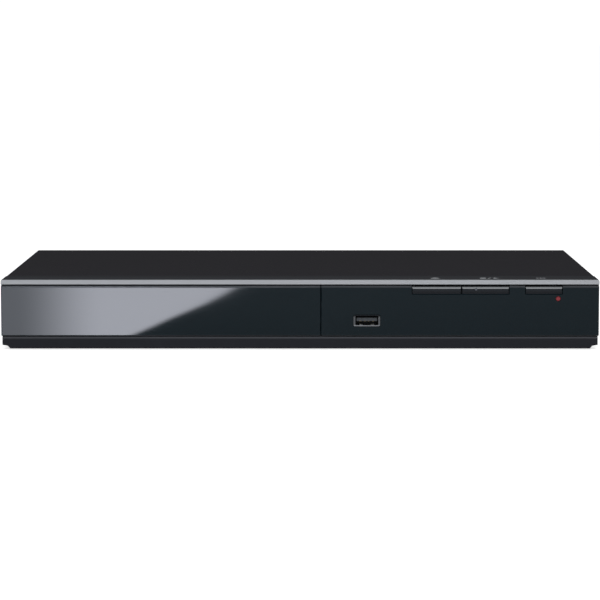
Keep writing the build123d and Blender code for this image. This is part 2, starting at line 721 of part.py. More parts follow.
# Disc tray: shallow drawer with two disc recesses, a window open to the rear, and the rack underneath
with BuildPart() as disc_tray:
    tray_ys = (deep(wall_back), deep(tray_rear))
    slab((off(-tray_half), off(tray_half)), tray_ys, (z_tray, z_tray + tray_edge_height))
    body_half = tray_half - tray_edge
    slab((off(-body_half), off(body_half)), (deep(wall_back), deep(tray_rear - 30)), (z_tray, z_rim))
    fillet(disc_tray.edges().filter_by(Axis.Y).group_by(Axis.Z)[-1], 0.8)
    apron_xs = (off(-tray_half - 1), off(tray_half + 1))
    slab(apron_xs, (deep(lid_back), deep(wall_back)), (z_tray - 5, z_rim + 6))
    drum(off(0), deep(disc_d), (z_recess, z_rim + 1), recess_radius, mode=Mode.SUBTRACT)
    drum(off(0), deep(disc_d), (z_recess - small_disc_depth, z_rim), small_disc_radius, mode=Mode.SUBTRACT)
    for side in (-1, 1):
        with Locations((off(side * 50.0), deep(wall_back + 9.6), z_recess + 6.0)):
            Sphere(10.5, mode=Mode.SUBTRACT)
    drum(off(0), deep(disc_d), (z_tray - 1, z_rim + 1), window_half, mode=Mode.SUBTRACT)
    window = (off(-window_half), off(window_half)), (deep(disc_d), deep(tray_rear + 1))
    slab(*window, (z_tray - 1, z_rim + 1), mode=Mode.SUBTRACT)
    rack_start = deep(gear_d) - rack_module * pi * 2
    rack_count = int((tray_rear - gear_d) / (rack_module * pi)) + 2
    rack_zs = (z_tray - rack_height, z_tray)
    rack_teeth(off(-rack_side), off(-rack_side - 5), rack_start, rack_count, rack_module, rack_zs)
disc_tray.part.label = "disc_tray"
export_step(disc_tray.part, "parts/disc_tray.step")

# Drive gear: a large wheel with the small gear that moves the rack on top
with BuildPart() as drive_gear:
    gear(off(gear_x), deep(gear_d), (z_gear, z_gear + gear_face), wheel_teeth, gear_module, 0.0)
    rack_phase = pi + pi / rack_gear_teeth
    upper_zs = (z_gear + gear_face, z_tray - 0.4)
    gear(off(gear_x), deep(gear_d), upper_zs, rack_gear_teeth, rack_module, rack_phase)
    for turn in range(6):
        x = off(gear_x) + 12.4 * cos(turn * pi / 3)
        y = deep(gear_d) + 12.4 * sin(turn * pi / 3)
        drum(x, y, (z_gear - 1, z_gear + gear_face), 2.0, mode=Mode.SUBTRACT)
    drum(off(gear_x), deep(gear_d), (z_gear - 1, z_tray), axle_radius + running_gap, mode=Mode.SUBTRACT)
drive_gear.part.label = "drive_gear"
export_step(drive_gear.part, "parts/drive_gear.step")


def pulley(x, y, zs, radius):
    """A pulley with a square belt groove at mid height."""
    middle = (zs[0] + zs[1]) / 2
    groove = belt_size / 2 + 0.2
    drum(x, y, (zs[0], middle - groove), radius)
    drum(x, y, (middle - groove, middle + groove), radius - belt_size)
    drum(x, y, (middle + groove, zs[1]), radius)


# Belt pulley with the pinion that turns the drive gear
pulley_zs = (z_pulley, z_pulley + pulley_height)
with BuildPart() as pulley_gear:
    gear(off(pulley_x), deep(gear_d), (z_gear, z_pulley), pinion_teeth, gear_module, pi + pi / pinion_teeth)
    pulley(off(pulley_x), deep(gear_d), pulley_zs, pulley_radius)
    drum(off(pulley_x), deep(gear_d), (z_gear - 1, z_tray), axle_radius + running_gap, mode=Mode.SUBTRACT)
pulley_gear.part.label = "pulley_gear"
export_step(pulley_gear.part, "parts/pulley_gear.step")

# Loading motor with its shaft, hung in the frame's turret
with BuildPart() as loading_motor:
    drum(off(motor_x), deep(motor_d), (z_floor + 0.4, z_motor), motor_radius)
    fillet(loading_motor.edges().group_by(Axis.Z)[0], 1.0)
    drum(off(motor_x), deep(motor_d), (z_motor, z_turret), 3.0)
    drum(off(motor_x), deep(motor_d), (z_turret, z_pulley + pulley_height), shaft_radius)
loading_motor.part.label = "loading_motor"
export_step(loading_motor.part, "parts/loading_motor.step")

with BuildPart() as motor_pulley:
    pulley(off(motor_x), deep(motor_d), pulley_zs, motor_pulley_radius)
    drum(off(motor_x), deep(motor_d), (z_pulley - 1, z_tray), shaft_radius + running_gap, mode=Mode.SUBTRACT)
motor_pulley.part.label = "motor_pulley"
export_step(motor_pulley.part, "parts/motor_pulley.step")


def belt_face(growth):
    """The area inside a tight loop round both grooves, grown outwards."""
    big = pulley_radius - belt_size + growth
    small = motor_pulley_radius - belt_size + growth
    big_centre = (off(pulley_x), deep(gear_d))
    small_centre = (off(motor_x), deep(motor_d))
    with BuildSketch(Plane.XY.offset(z_pulley + pulley_height / 2 - belt_size / 2)) as area:
        with Locations(big_centre):
            Circle(big)
        with Locations(small_centre):
            Circle(small)
        make_hull()
    return area.sketch


# Square rubber belt round both pulleys
with BuildPart() as drive_belt:
    extrude(belt_face(running_gap + belt_size), amount=belt_size)
    extrude(belt_face(running_gap), amount=belt_size, mode=Mode.SUBTRACT)
drive_belt.part.label = "drive_belt"
export_step(drive_belt.part, "parts/drive_belt.step")

# Cam slider: upright plate with a slanted slot for the traverse's pin, hung on the deck's rear wall
slider_left = -16.0
slider_right = 22.0
slider_ys = (deep(cam_pin_d - 1.3), deep(cam_pin_d + 1.3))
slider_low = z_cam_pin - cam_drop - cam_pin_radius - 0.4 - 1.2
slider_top = z_gear + gear_face + 0.1 + move_gap
slot_half = cam_pin_radius + 0.4
pin_x = 5.0
with BuildPart() as cam_slider:
    slab((off(slider_left), off(slider_right)), slider_ys, (slider_low, slider_top + 1.4))
    slab(
        (off(slider_left), off(slider_right)),
        (deep(deck_rear - 4), slider_ys[1]),
        (slider_top, slider_top + 1.4),
    )
    with BuildSketch(Plane.XZ.offset(-deep(cam_pin_d - 3))) as slot:
        top = (off(pin_x), z_cam_pin)
        low = (off(pin_x - cam_travel), z_cam_pin - cam_drop)
        with Locations(top, low):
            Circle(slot_half)
        make_hull()
    extrude(amount=-6, mode=Mode.SUBTRACT)
cam_slider.part.label = "cam_slider"
export_step(cam_slider.part, "parts/cam_slider.step")

# Bridge over the disc that carries the clamper
bridge_z = (z_rim + bridge_rise, z_rim + bridge_rise + bridge_sheet)
with BuildPart() as clamper_bridge:
    bridge_half = frame_outer + 6.6
    slab((off(-bridge_half), off(bridge_half)), about(deep(disc_d), 36), bridge_z)
    fillet(clamper_bridge.edges().filter_by(Axis.Z), 3.0)
    drum(off(0), deep(disc_d), (z_rim, z_rim + 6), 12.5, mode=Mode.SUBTRACT)
    for x, y in bridge_places:
        drum(x, y, (z_rim, z_rim + 6), screw_hole, mode=Mode.SUBTRACT)
    for side in (-1, 1):
        slab(about(off(side * 38), 26), about(deep(disc_d), 14), (z_rim, z_rim + 6), mode=Mode.SUBTRACT)
        lip = sorted((deep(disc_d) + side * 18, deep(disc_d) + side * 17))
        slab((off(-58), off(58)), lip, (bridge_z[1], bridge_z[1] + 2.0))
clamper_bridge.part.label = "clamper_bridge"
export_step(clamper_bridge.part, "parts/clamper_bridge.step")

# Screws of the loader: four into the floor's pillars, four for the bridge
with BuildPart() as loader_screws:
    for x, y in loader_screw_places:
        screw_down(x, y, z_deck_top, 5.4)
    for x, y in bridge_places:
        screw_down(x, y, bridge_z[1], 5.0)
loader_screws.part.label = "loader_screws"
export_step(loader_screws.part, "parts/loader_screws.step")

# Clamper: the puck that presses the disc on the turntable, held in the bridge by its upper rim
with BuildPart() as clamper_puck:
    drum(off(0), deep(disc_d), (z_rim + 0.5, z_rim + 2.0), 16.0)
    drum(off(0), deep(disc_d), (z_rim + 2.0, bridge_z[1] + move_gap), 12.1)
    drum(off(0), deep(disc_d), (bridge_z[1] + move_gap, bridge_z[1] + 1.6), 15.5)
    drum(off(0), deep(disc_d), (z_rim, z_rim + 2.4), hub_radius + 0.9, mode=Mode.SUBTRACT)
clamper_puck.part.label = "clamper_puck"
export_step(clamper_puck.part, "parts/clamper_puck.step")

with BuildPart() as clamper_yoke:
    drum(off(0), deep(disc_d), (bridge_z[1] + 1.6, bridge_z[1] + 2.6), 11.0)
    fillet(clamper_yoke.edges().group_by(Axis.Z)[-1], 0.3)
clamper_yoke.part.label = "clamper_yoke"
export_step(clamper_yoke.part, "parts/clamper_yoke.step")

# Traverse frame: plastic ring on two rear pivots, with the cam pin at its front
with BuildPart() as traverse_frame:
    ring_ys = (deep(ring_front), deep(ring_rear))
    slab((off(-ring_half), off(ring_half)), ring_ys, (z_ring, z_ring + ring_height))
    fillet(traverse_frame.edges().filter_by(Axis.Z), 4.0)
    slab(
        (off(-ring_half + ring_beam), off(ring_half - ring_beam)),
        (deep(ring_front + ring_front_beam), deep(ring_rear - ring_front_beam)),
        (z_ring - 1, z_ring + ring_height + 1),
        mode=Mode.SUBTRACT,
    )
    for x, y in damper_places:
        drum(x, y, (z_ring, z_ring + ring_height), 5.0)
        drum(x, y, (z_ring - 1, z_ring + ring_height + 1), 1.2, mode=Mode.SUBTRACT)
    pivots = (off(-ring_half - 4.6), off(-ring_half + 2)), (off(ring_half - 2), off(ring_half + 4.6))
    for xs in pivots:
        bar_x(xs, deep(pivot_d), z_pivot, pivot_radius)
    bar_y(off(pin_x), (deep(cam_pin_d - 1.8), deep(ring_front + 1)), z_cam_pin, cam_pin_radius)
    root_zs = (z_ring, z_cam_pin + cam_pin_radius + 0.6)
    slab(about(off(pin_x), 8), (deep(ring_front), deep(ring_front + 4)), root_zs)
traverse_frame.part.label = "traverse_frame"
export_step(traverse_frame.part, "parts/traverse_frame.step")

# Rubber dampers between the ring and the plate
damper_zs = (z_ring + ring_height, z_plate + plate_sheet + 0.8)
with BuildPart() as traverse_dampers:
    for x, y in damper_places:
        drum(x, y, (damper_zs[0], z_plate), 3.6)
        drum(x, y, (z_plate, z_plate + plate_sheet), 2.6)
        drum(x, y, (z_plate + plate_sheet, damper_zs[1]), 3.6)
        drum(x, y, (damper_zs[0] - 1, damper_zs[1] + 1), 1.2, mode=Mode.SUBTRACT)
traverse_dampers.part.label = "traverse_dampers"
export_step(traverse_dampers.part, "parts/traverse_dampers.step")

with BuildPart() as damper_screws:
    for x, y in damper_places:
        drum(x, y, (damper_zs[1], damper_zs[1] + 0.7), 2.4)
        drum(x, y, (z_ring + 0.6, damper_zs[1]), 1.05)
damper_screws.part.label = "damper_screws"
export_step(damper_screws.part, "parts/damper_screws.step")

# Traverse plate: steel sheet that carries the spindle motor, the rods and the feed gears
plate_zs = (z_plate, z_plate + plate_sheet)
with BuildPart() as traverse_plate:
    slab((off(-plate_half), off(plate_half)), (deep(ring_front + 0.5), deep(ring_rear - 0.5)), plate_zs)
    fillet(traverse_plate.edges().filter_by(Axis.Z), 3.0)
    slab(
        (off(-15.5), off(15.5)),
        (deep(pickup_front), deep(pickup_front + pickup_length + sled_travel + 1)),
        (z_plate - 1, z_plate + 2),
        mode=Mode.SUBTRACT,
    )
    drum(off(0), deep(disc_d), (z_plate - 1, z_plate + 2), 6.2, mode=Mode.SUBTRACT)
    drum(off(feed_x), deep(feed_d), (z_plate - 1, z_plate + 2), 2.4, mode=Mode.SUBTRACT)
    drum(off(feed_motor_x), deep(feed_motor_d), (z_plate - 1, z_plate + 2), 2.4, mode=Mode.SUBTRACT)
    for x, y in damper_places:
        drum(x, y, (z_plate - 1, z_plate + 2), 2.6, mode=Mode.SUBTRACT)
    for rod_x in (rod_left, rod_right):
        for d in (pickup_front - 7, ring_rear - ring_front_beam - 2.2):
            slab(about(off(rod_x), 6), about(deep(d), 3.6), (z_rod - 2.6, z_plate))
            bar_y(off(rod_x), about(deep(d), 3.8), z_rod, rod_radius, mode=Mode.SUBTRACT)
    bracket_zs = (z_rod - 2.4, z_rod - 1.6)
    slab((off(feed_x - 2.4), off(feed_x + 7.6)), about(deep(feed_d), 7), bracket_zs)
    slab((off(feed_x + 6.4), off(feed_x + 7.6)), about(deep(feed_d), 7), (bracket_zs[1], z_plate))
    bore_zs = (bracket_zs[0] - 1, bracket_zs[1] + 0.1)
    drum(off(feed_x), deep(feed_d), bore_zs, shaft_radius + running_gap, mode=Mode.SUBTRACT)
traverse_plate.part.label = "traverse_plate"
export_step(traverse_plate.part, "parts/traverse_plate.step")

# Guide rods of the pickup
with BuildPart() as guide_rods:
    for rod_x in (rod_left, rod_right):
        rod_ys = (deep(pickup_front - 9), deep(ring_rear - ring_front_beam - 0.3))
        bar_y(off(rod_x), rod_ys, z_rod, rod_radius)
guide_rods.part.label = "guide_rods"
export_step(guide_rods.part, "parts/guide_rods.step")

# Spindle motor under the plate, with its bearing boss up through it
with BuildPart() as spindle_motor:
    drum(off(0), deep(disc_d), (z_ring + 0.6, z_plate), 12.0)
    fillet(spindle_motor.edges().group_by(Axis.Z)[0], 0.8)
    drum(off(0), deep(disc_d), (z_plate, z_plate + plate_sheet + 2.4), 4.0)
    drum(off(0), deep(disc_d), (z_plate - 1.5, z_plate + 6), shaft_radius + running_gap, mode=Mode.SUBTRACT)
spindle_motor.part.label = "spindle_motor"
export_step(spindle_motor.part, "parts/spindle_motor.step")

# Turntable: the motor's rotor with the disc seat and the centring hub
z_disc_seat = z_recess + 1.8
with BuildPart() as turntable:
    drum(off(0), deep(disc_d), (z_plate + plate_sheet + 0.4, z_disc_seat - 1.0), 13.4)
    drum(off(0), deep(disc_d), (z_disc_seat - 1.0, z_disc_seat - 0.3), turntable_radius)
    with Locations((off(0), deep(disc_d), z_disc_seat + 0.9)):
        Cone(hub_radius, hub_radius - 1.0, 2.4)
    drum(off(0), deep(disc_d), (z_plate, z_plate + plate_sheet + 2.8), 4.4, mode=Mode.SUBTRACT)
    drum(off(0), deep(disc_d), (z_plate - 1.2, z_plate + plate_sheet + 4), shaft_radius)
turntable.part.label = "turntable"
export_step(turntable.part, "parts/turntable.step")

with BuildPart() as turntable_pad:
    drum(off(0), deep(disc_d), (z_disc_seat - 0.3, z_disc_seat), turntable_radius - 0.4)
    drum(off(0), deep(disc_d), (z_disc_seat - 1, z_disc_seat + 1), turntable_radius - 3.0, mode=Mode.SUBTRACT)
turntable_pad.part.label = "turntable_pad"
export_step(turntable_pad.part, "parts/turntable_pad.step")

# Pickup: die-cast sled on the two rods
pickup_ys = (deep(pickup_front), deep(pickup_front + pickup_length))
z_pickup = (z_rod - 2.2, z_plate - 0.5)
with BuildPart() as pickup_body:
    slab((off(rod_left + 5), off(rod_right - 3)), pickup_ys, z_pickup)
    bar_y(off(rod_left), pickup_ys, z_rod, 2.7)
    slab((off(rod_left), off(rod_left + 5)), pickup_ys, (z_rod - 1.2, z_rod + 1.6))
    fork = (pickup_ys[0] + 9, pickup_ys[1] - 9)
    slab((off(rod_right - 3), off(feed_rack_x - 3.2)), fork, (z_rod + rod_radius + 0.1, z_plate - 0.5))
    slab((off(rod_right - 3), off(rod_right + 2)), fork, (z_rod - 3.0, z_rod - rod_radius - 0.1))
    slab((off(-11), off(11)), (pickup_ys[0] + 1, pickup_ys[0] + 19), (z_pickup[1], z_plate + 1.6))
    bore_ys = (pickup_ys[0] - 1, pickup_ys[1] + 1)
    bar_y(off(rod_left), bore_ys, z_rod, rod_radius + running_gap, mode=Mode.SUBTRACT)
pickup_body.part.label = "pickup_body"
export_step(pickup_body.part, "parts/pickup_body.step")

with BuildPart() as pickup_cover:
    z_cover = (z_plate + 1.6, z_tray + 0.9)
    slab((off(-10), off(10)), (pickup_ys[0] + 2, pickup_ys[0] + 18), z_cover)
    fillet(pickup_cover.edges().filter_by(Axis.Z), 2.0)
    drum(off(0), deep(lens_d), (z_plate, z_tray + 3), 3.8, mode=Mode.SUBTRACT)
pickup_cover.part.label = "pickup_cover"
export_step(pickup_cover.part, "parts/pickup_cover.step")

with BuildPart() as pickup_lens:
    drum(off(0), deep(lens_d), (z_plate + 1.6, z_tray + 1.0), 3.2)
    with Locations((off(0), deep(lens_d), z_tray + 0.9)):
        Sphere(2.2)
pickup_lens.part.label = "pickup_lens"
export_step(pickup_lens.part, "parts/pickup_lens.step")

# Rack at the pickup's side, which the feed gear moves
feed_pitch = feed_module * pi
feed_zs = (z_rod - 0.6, z_rod + 1.4)
with BuildPart() as feed_rack:
    feed_count = int(sled_travel / feed_pitch) + 3
    first = deep(feed_d) - feed_pitch * (feed_count - 2)
    rack_teeth(off(feed_rack_x), off(feed_rack_x - 2.4), first, feed_count, feed_module, feed_zs)
    slab((off(feed_rack_x - 3.2), off(feed_rack_x - 0.8)), fork, (feed_zs[1], z_plate - 0.5))
feed_rack.part.label = "feed_rack"
export_step(feed_rack.part, "parts/feed_rack.step")

# Feed gear: pinion in the rack below the plate, wheel above it
wheel_zs = (z_plate + plate_sheet + 0.2, z_tray - 0.4)
with BuildPart() as feed_gear:
    phase = pi + pi / feed_pinion_teeth
    gear(off(feed_x), deep(feed_d), (z_rod - 0.9, z_plate - 0.4), feed_pinion_teeth, feed_module, phase)
    drum(off(feed_x), deep(feed_d), (z_plate - 0.4, wheel_zs[0]), 2.0)
    mesh_turn = atan2(feed_motor_d - feed_d, feed_motor_x - feed_x)
    gear(off(feed_x), deep(feed_d), wheel_zs, feed_wheel_teeth, feed_module, mesh_turn)
    drum(off(feed_x), deep(feed_d), (z_rod - 2.4, z_rod - 0.9), shaft_radius)
feed_gear.part.label = "feed_gear"
export_step(feed_gear.part, "parts/feed_gear.step")

# Feed motor under the plate, and its pinion above it
with BuildPart() as feed_motor:
    drum(off(feed_motor_x), deep(feed_motor_d), (z_ring - 0.4, z_plate), 4.8)
    fillet(feed_motor.edges().group_by(Axis.Z)[0], 0.6)
    drum(off(feed_motor_x), deep(feed_motor_d), (z_plate, wheel_zs[0]), 1.8)
    drum(off(feed_motor_x), deep(feed_motor_d), wheel_zs, feed_shaft_radius)
feed_motor.part.label = "feed_motor"
export_step(feed_motor.part, "parts/feed_motor.step")

with BuildPart() as feed_pinion:
    phase = mesh_turn + pi + pi / feed_pinion_teeth
    gear(off(feed_motor_x), deep(feed_motor_d), wheel_zs, feed_pinion_teeth, feed_module, phase)
    bore = feed_shaft_radius + running_gap
    drum(off(feed_motor_x), deep(feed_motor_d), (z_plate, z_tray), bore, mode=Mode.SUBTRACT)
feed_pinion.part.label = "feed_pinion"
export_step(feed_pinion.part, "parts/feed_pinion.step")

# Circuit boards on the floor's pillars
z_on_board = z_board + board_thickness
with BuildPart() as main_board:
    slab(main_board_x, (deep(main_board_d[0]), deep(main_board_d[1])), (z_board, z_on_board))
    for x, y in board_places[:4]:
        drum(x, y, (z_board - 1, z_board + 3), screw_hole, mode=Mode.SUBTRACT)
main_board.part.label = "main_board"
export_step(main_board.part, "parts/main_board.step")

with BuildPart() as power_board:
    slab(power_board_x, (deep(power_board_d[0]), deep(power_board_d[1])), (z_board, z_on_board))
    for x, y in board_places[4:]:
        drum(x, y, (z_board - 1, z_board + 3), screw_hole, mode=Mode.SUBTRACT)
power_board.part.label = "power_board"
export_step(power_board.part, "parts/power_board.step")

with BuildPart() as board_screws:
    for x, y in board_places:
        screw_down(x, y, z_on_board, 4.8)
    for x, z in front_board_places:
        screw_forward(x, deep(front_board_d + board_thickness), z, 5.0)
board_screws.part.label = "board_screws"
export_step(board_screws.part, "parts/board_screws.step")

chip_places = [
    (30.0, 128.0, 24.0, 24.0, 1.6),
    (62.0, 122.0, 14.0, 10.0, 1.2),
    (62.0, 140.0, 14.0, 10.0, 1.2),
    (82.0, 126.0, 10.0, 16.0, 1.4),
    (86.0, 150.0, 8.0, 8.0, 1.2),
    (30.0, 154.0, 9.0, 6.0, 1.2),
]
with BuildPart() as main_chips:
    for x, d, width, depth, height in chip_places:
        slab(about(x, width), about(deep(d), depth), (z_on_board, z_on_board + height))
main_chips.part.label = "main_chips"
export_step(main_chips.part, "parts/main_chips.step")

capacitor_places = [
    (14.0, 116.0, 3.2, 9.0),
    (50.0, 158.0, 3.2, 9.0),
    (70.0, 160.0, 3.2, 9.0),
    (84.0, 110.0, 4.0, 11.0),
    (116.0, 108.0, 5.0, 16.0),
    (116.0, 122.0, 5.0, 16.0),
    (145.0, 150.0, 8.0, 18.0),
    (116.0, 96.0, 4.0, 12.0),
]
with BuildPart() as board_capacitors:
    for x, d, radius, height in capacitor_places:
        drum(x, deep(d), (z_on_board, z_on_board + height), radius)
    fillet(board_capacitors.edges().group_by(Axis.Z)[-1], 0.4)
board_capacitors.part.label = "board_capacitors"
export_step(board_capacitors.part, "parts/board_capacitors.step")

# Switching transformer: windings between two ferrite halves
transformer_x = 136.0
transformer_d = 116.0
with BuildPart() as power_transformer:
    slab(about(transformer_x, 22), about(deep(transformer_d), 20), (z_on_board, z_on_board + 3))
    slab(about(transformer_x, 13), about(deep(transformer_d), 18), (z_on_board + 3, z_on_board + 15))
    for side in (-1, 1):
        xs = about(transformer_x + side * 9, 5)
        slab(xs, about(deep(transformer_d), 12), (z_on_board + 3, z_on_board + 15))
    slab(about(transformer_x, 22), about(deep(transformer_d), 12), (z_on_board + 14, z_on_board + 18))
power_transformer.part.label = "power_transformer"
export_step(power_transformer.part, "parts/power_transformer.step")

with BuildPart() as power_heatsink:
    slab(about(136.0, 30), about(deep(78), 2.0), (z_on_board, z_on_board + 18))
    for fin in range(5):
        slab(about(124 + fin * 6, 1.4), (deep(79), deep(86)), (z_on_board, z_on_board + 18))
power_heatsink.part.label = "power_heatsink"
export_step(power_heatsink.part, "parts/power_heatsink.step")

# Mains filter choke, fuse and connector blocks on the power board
with BuildPart() as power_parts:
    slab(about(120, 16), about(deep(150), 14), (z_on_board, z_on_board + 14))
    slab(about(120, 22), about(deep(170), 7), (z_on_board, z_on_board + 9))
    slab(about(124, 14), about(deep(64), 6), (z_on_board, z_on_board + 7))
    slab(about(142, 10), about(deep(96), 5), (z_on_board, z_on_board + 9))
power_parts.part.label = "power_parts"
export_step(power_parts.part, "parts/power_parts.step")

# Rear sockets: one insulating block for six and one for the single socket
block_front = rear_d - 13.0
with BuildPart() as av_sockets:
    block_xs = (socket_columns[0] - 7, socket_columns[-1] + 7)
    slab(block_xs, (deep(block_front), deep(rear_d)), (z_on_board, socket_rows[1] + 6.4))
    slab(about(digital_x, 12), (deep(block_front), deep(rear_d)), (z_on_board, socket_rows[0] + 6))
    for x, z in socket_places:
        bar_y(x, (deep(rear_d - 8), deep(rear_d + 1)), z, barrel_radius - 0.25, mode=Mode.SUBTRACT)
av_sockets.part.label = "av_sockets"
export_step(av_sockets.part, "parts/av_sockets.step")

# Plated barrels of the sockets
with BuildPart() as socket_barrels:
    for x, z in socket_places:
        bar_y(x, (deep(rear_d - 8), deep(rear_d)), z, barrel_radius - 0.25)
        bar_y(x, (deep(rear_d), deep(overall_depth)), z, barrel_radius)
        bore_ys = (deep(rear_d - 4), deep(overall_depth + 1))
        bar_y(x, bore_ys, z, barrel_radius - barrel_wall, mode=Mode.SUBTRACT)
socket_barrels.part.label = "socket_barrels"
export_step(socket_barrels.part, "parts/socket_barrels.step")

# Coloured insulators inside the barrels, each with the hole for the plug's pin
with BuildPart() as socket_inserts:
    for x, z in socket_places:
        bar_y(x, (deep(rear_d - 4), deep(overall_depth - 0.8)), z, barrel_radius - barrel_wall)
        bar_y(x, (deep(rear_d - 2), deep(overall_depth)), z, 1.65, mode=Mode.SUBTRACT)
socket_inserts.part.label = "socket_inserts"
export_step(socket_inserts.part, "parts/socket_inserts.step")

# Mains inlet: block with a figure-of-eight pocket open to the rear
inlet_depth = 16.0
pin_pitch = 8.6
inlet_rear = deep(rear_d + chassis_sheet + 0.6)
with BuildPart() as mains_inlet:
    slab(about(inlet_x, inlet_width), (deep(rear_d - inlet_depth), inlet_rear), about(inlet_z, inlet_height))
    with BuildSketch(Plane.XZ.offset(-inlet_rear)):
        with Locations((inlet_x - 3.6, inlet_z), (inlet_x + 3.6, inlet_z)):
            Circle(4.2)
        make_hull()
    extrude(amount=inlet_depth - 3.0, mode=Mode.SUBTRACT)
mains_inlet.part.label = "mains_inlet"
export_step(mains_inlet.part, "parts/mains_inlet.step")

with BuildPart() as inlet_pins:
    for side in (-1, 1):
        pin_ys = (deep(rear_d - inlet_depth + 3.6 + chassis_sheet), inlet_rear - 2.5)
        bar_y(inlet_x + side * pin_pitch / 2, pin_ys, inlet_z, 1.2)
inlet_pins.part.label = "inlet_pins"
export_step(inlet_pins.part, "parts/inlet_pins.step")

# Flat cable from the front board to the main board, with its two plugs
cable_x = 72.0
cable_z = z_on_board + 3.4
with BuildPart() as front_cable:
    back_of_board = front_board_d + board_thickness
    slab(about(cable_x, 16), (deep(back_of_board), deep(back_of_board + 4)), about(cable_z, 5))
    plug_ys = (deep(main_board_d[0] + 1), deep(main_board_d[0] + 6))
    slab(about(cable_x, 16), plug_ys, (z_on_board, z_on_board + 5))
    slab(about(cable_x, 13), (deep(back_of_board + 4), deep(main_board_d[0] + 1)), about(cable_z, 0.5))
front_cable.part.label = "front_cable"
export_step(front_cable.part, "parts/front_cable.step")

# Short wires between the power board and the main board
with BuildPart() as power_harness:
    harness_d = 134.0
    plug_zs = (z_on_board, z_on_board + 6)
    slab((main_board_x[1] - 7, main_board_x[1] - 2), about(deep(harness_d), 12), plug_zs)
    slab((power_board_x[0] + 2, power_board_x[0] + 7), about(deep(harness_d), 12), plug_zs)
    for wire in range(4):
        xs = (main_board_x[1] - 3, power_board_x[0] + 3)
        bar_x(xs, deep(harness_d - 4.2 + 2.8 * wire), z_on_board + 4, 0.8)
power_harness.part.label = "power_harness"
export_step(power_harness.part, "parts/power_harness.step")
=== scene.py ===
from math import pi, radians, sin, cos

import bmesh
import bpy
import numpy as np
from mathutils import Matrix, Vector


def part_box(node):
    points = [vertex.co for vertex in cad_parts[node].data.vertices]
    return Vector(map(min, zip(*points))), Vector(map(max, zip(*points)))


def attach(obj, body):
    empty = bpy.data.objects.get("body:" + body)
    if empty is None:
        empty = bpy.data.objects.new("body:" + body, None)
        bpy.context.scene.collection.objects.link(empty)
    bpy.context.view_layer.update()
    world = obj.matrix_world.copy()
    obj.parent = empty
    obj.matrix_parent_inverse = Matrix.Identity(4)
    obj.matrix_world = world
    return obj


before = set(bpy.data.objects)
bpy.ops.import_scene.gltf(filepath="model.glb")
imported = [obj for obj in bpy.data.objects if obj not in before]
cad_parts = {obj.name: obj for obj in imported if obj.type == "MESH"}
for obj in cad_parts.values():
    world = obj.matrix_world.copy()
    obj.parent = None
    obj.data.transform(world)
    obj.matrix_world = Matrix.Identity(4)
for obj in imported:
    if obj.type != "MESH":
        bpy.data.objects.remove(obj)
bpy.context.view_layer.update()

# The floor pan, the rear wall, the plate of the disc drive, the clamp bridge and its yoke are zinc plated
# sheet steel, punched and folded. Zinc freezes in pale grey flakes some millimetres wide, over which the
# rolls leave fine lines.


class Level:
    """A number or a vector over a surface. Plain arithmetic on it adds Math nodes to its finish."""

    def __init__(self, finish, socket):
        self.finish, self.socket = finish, socket

    def math(self, operation, first, second):
        return self.finish.node("Math", {"operation": operation}, {0: first, 1: second})

    def __add__(self, other):
        return self.math("ADD", self, other)

    def __radd__(self, other):
        return self.math("ADD", other, self)

    def __sub__(self, other):
        return self.math("SUBTRACT", self, other)

    def __rsub__(self, other):
        return self.math("SUBTRACT", other, self)

    def __mul__(self, other):
        return self.math("MULTIPLY", self, other)

    def __truediv__(self, other):
        return self.math("DIVIDE", self, other)

    def __pow__(self, other):
        return self.math("POWER", self, other)

    def __gt__(self, other):
        return self.math("GREATER_THAN", self, other)

    def __lt__(self, other):
        return self.math("LESS_THAN", self, other)

    def size(self):
        """The number without its sign."""
        return self.math("ABSOLUTE", self, 0.0)

    def wave(self):
        """The sine of the number."""
        return self.math("SINE", self, 0.0)

    def repeat(self, length):
        """The remainder after whole lengths: a sawtooth from 0 to that length."""
        return self.math("FLOORED_MODULO", self, length)

    def rise(self, low, high):
        """0 below low, 1 above high and a smooth step between them."""
        sockets = {"Value": self, "From Min": low, "From Max": high}
        return self.finish.node("MapRange", {"interpolation_type": "SMOOTHSTEP"}, sockets)


class Nodes:
    """A node tree and the call that adds a node to it."""

    def __init__(self, tree):
        self.tree = tree

    def node(self, kind, settings, sockets, out=0):
        node = self.tree.nodes.new("ShaderNode" + kind)
        for key, value in settings.items():
            setattr(node, key, value)
        for key, value in sockets.items():
            if isinstance(value, Level):
                self.tree.links.new(value.socket, node.inputs[key])
            else:
                node.inputs[key].default_value = value
        return Level(self, node.outputs[out])


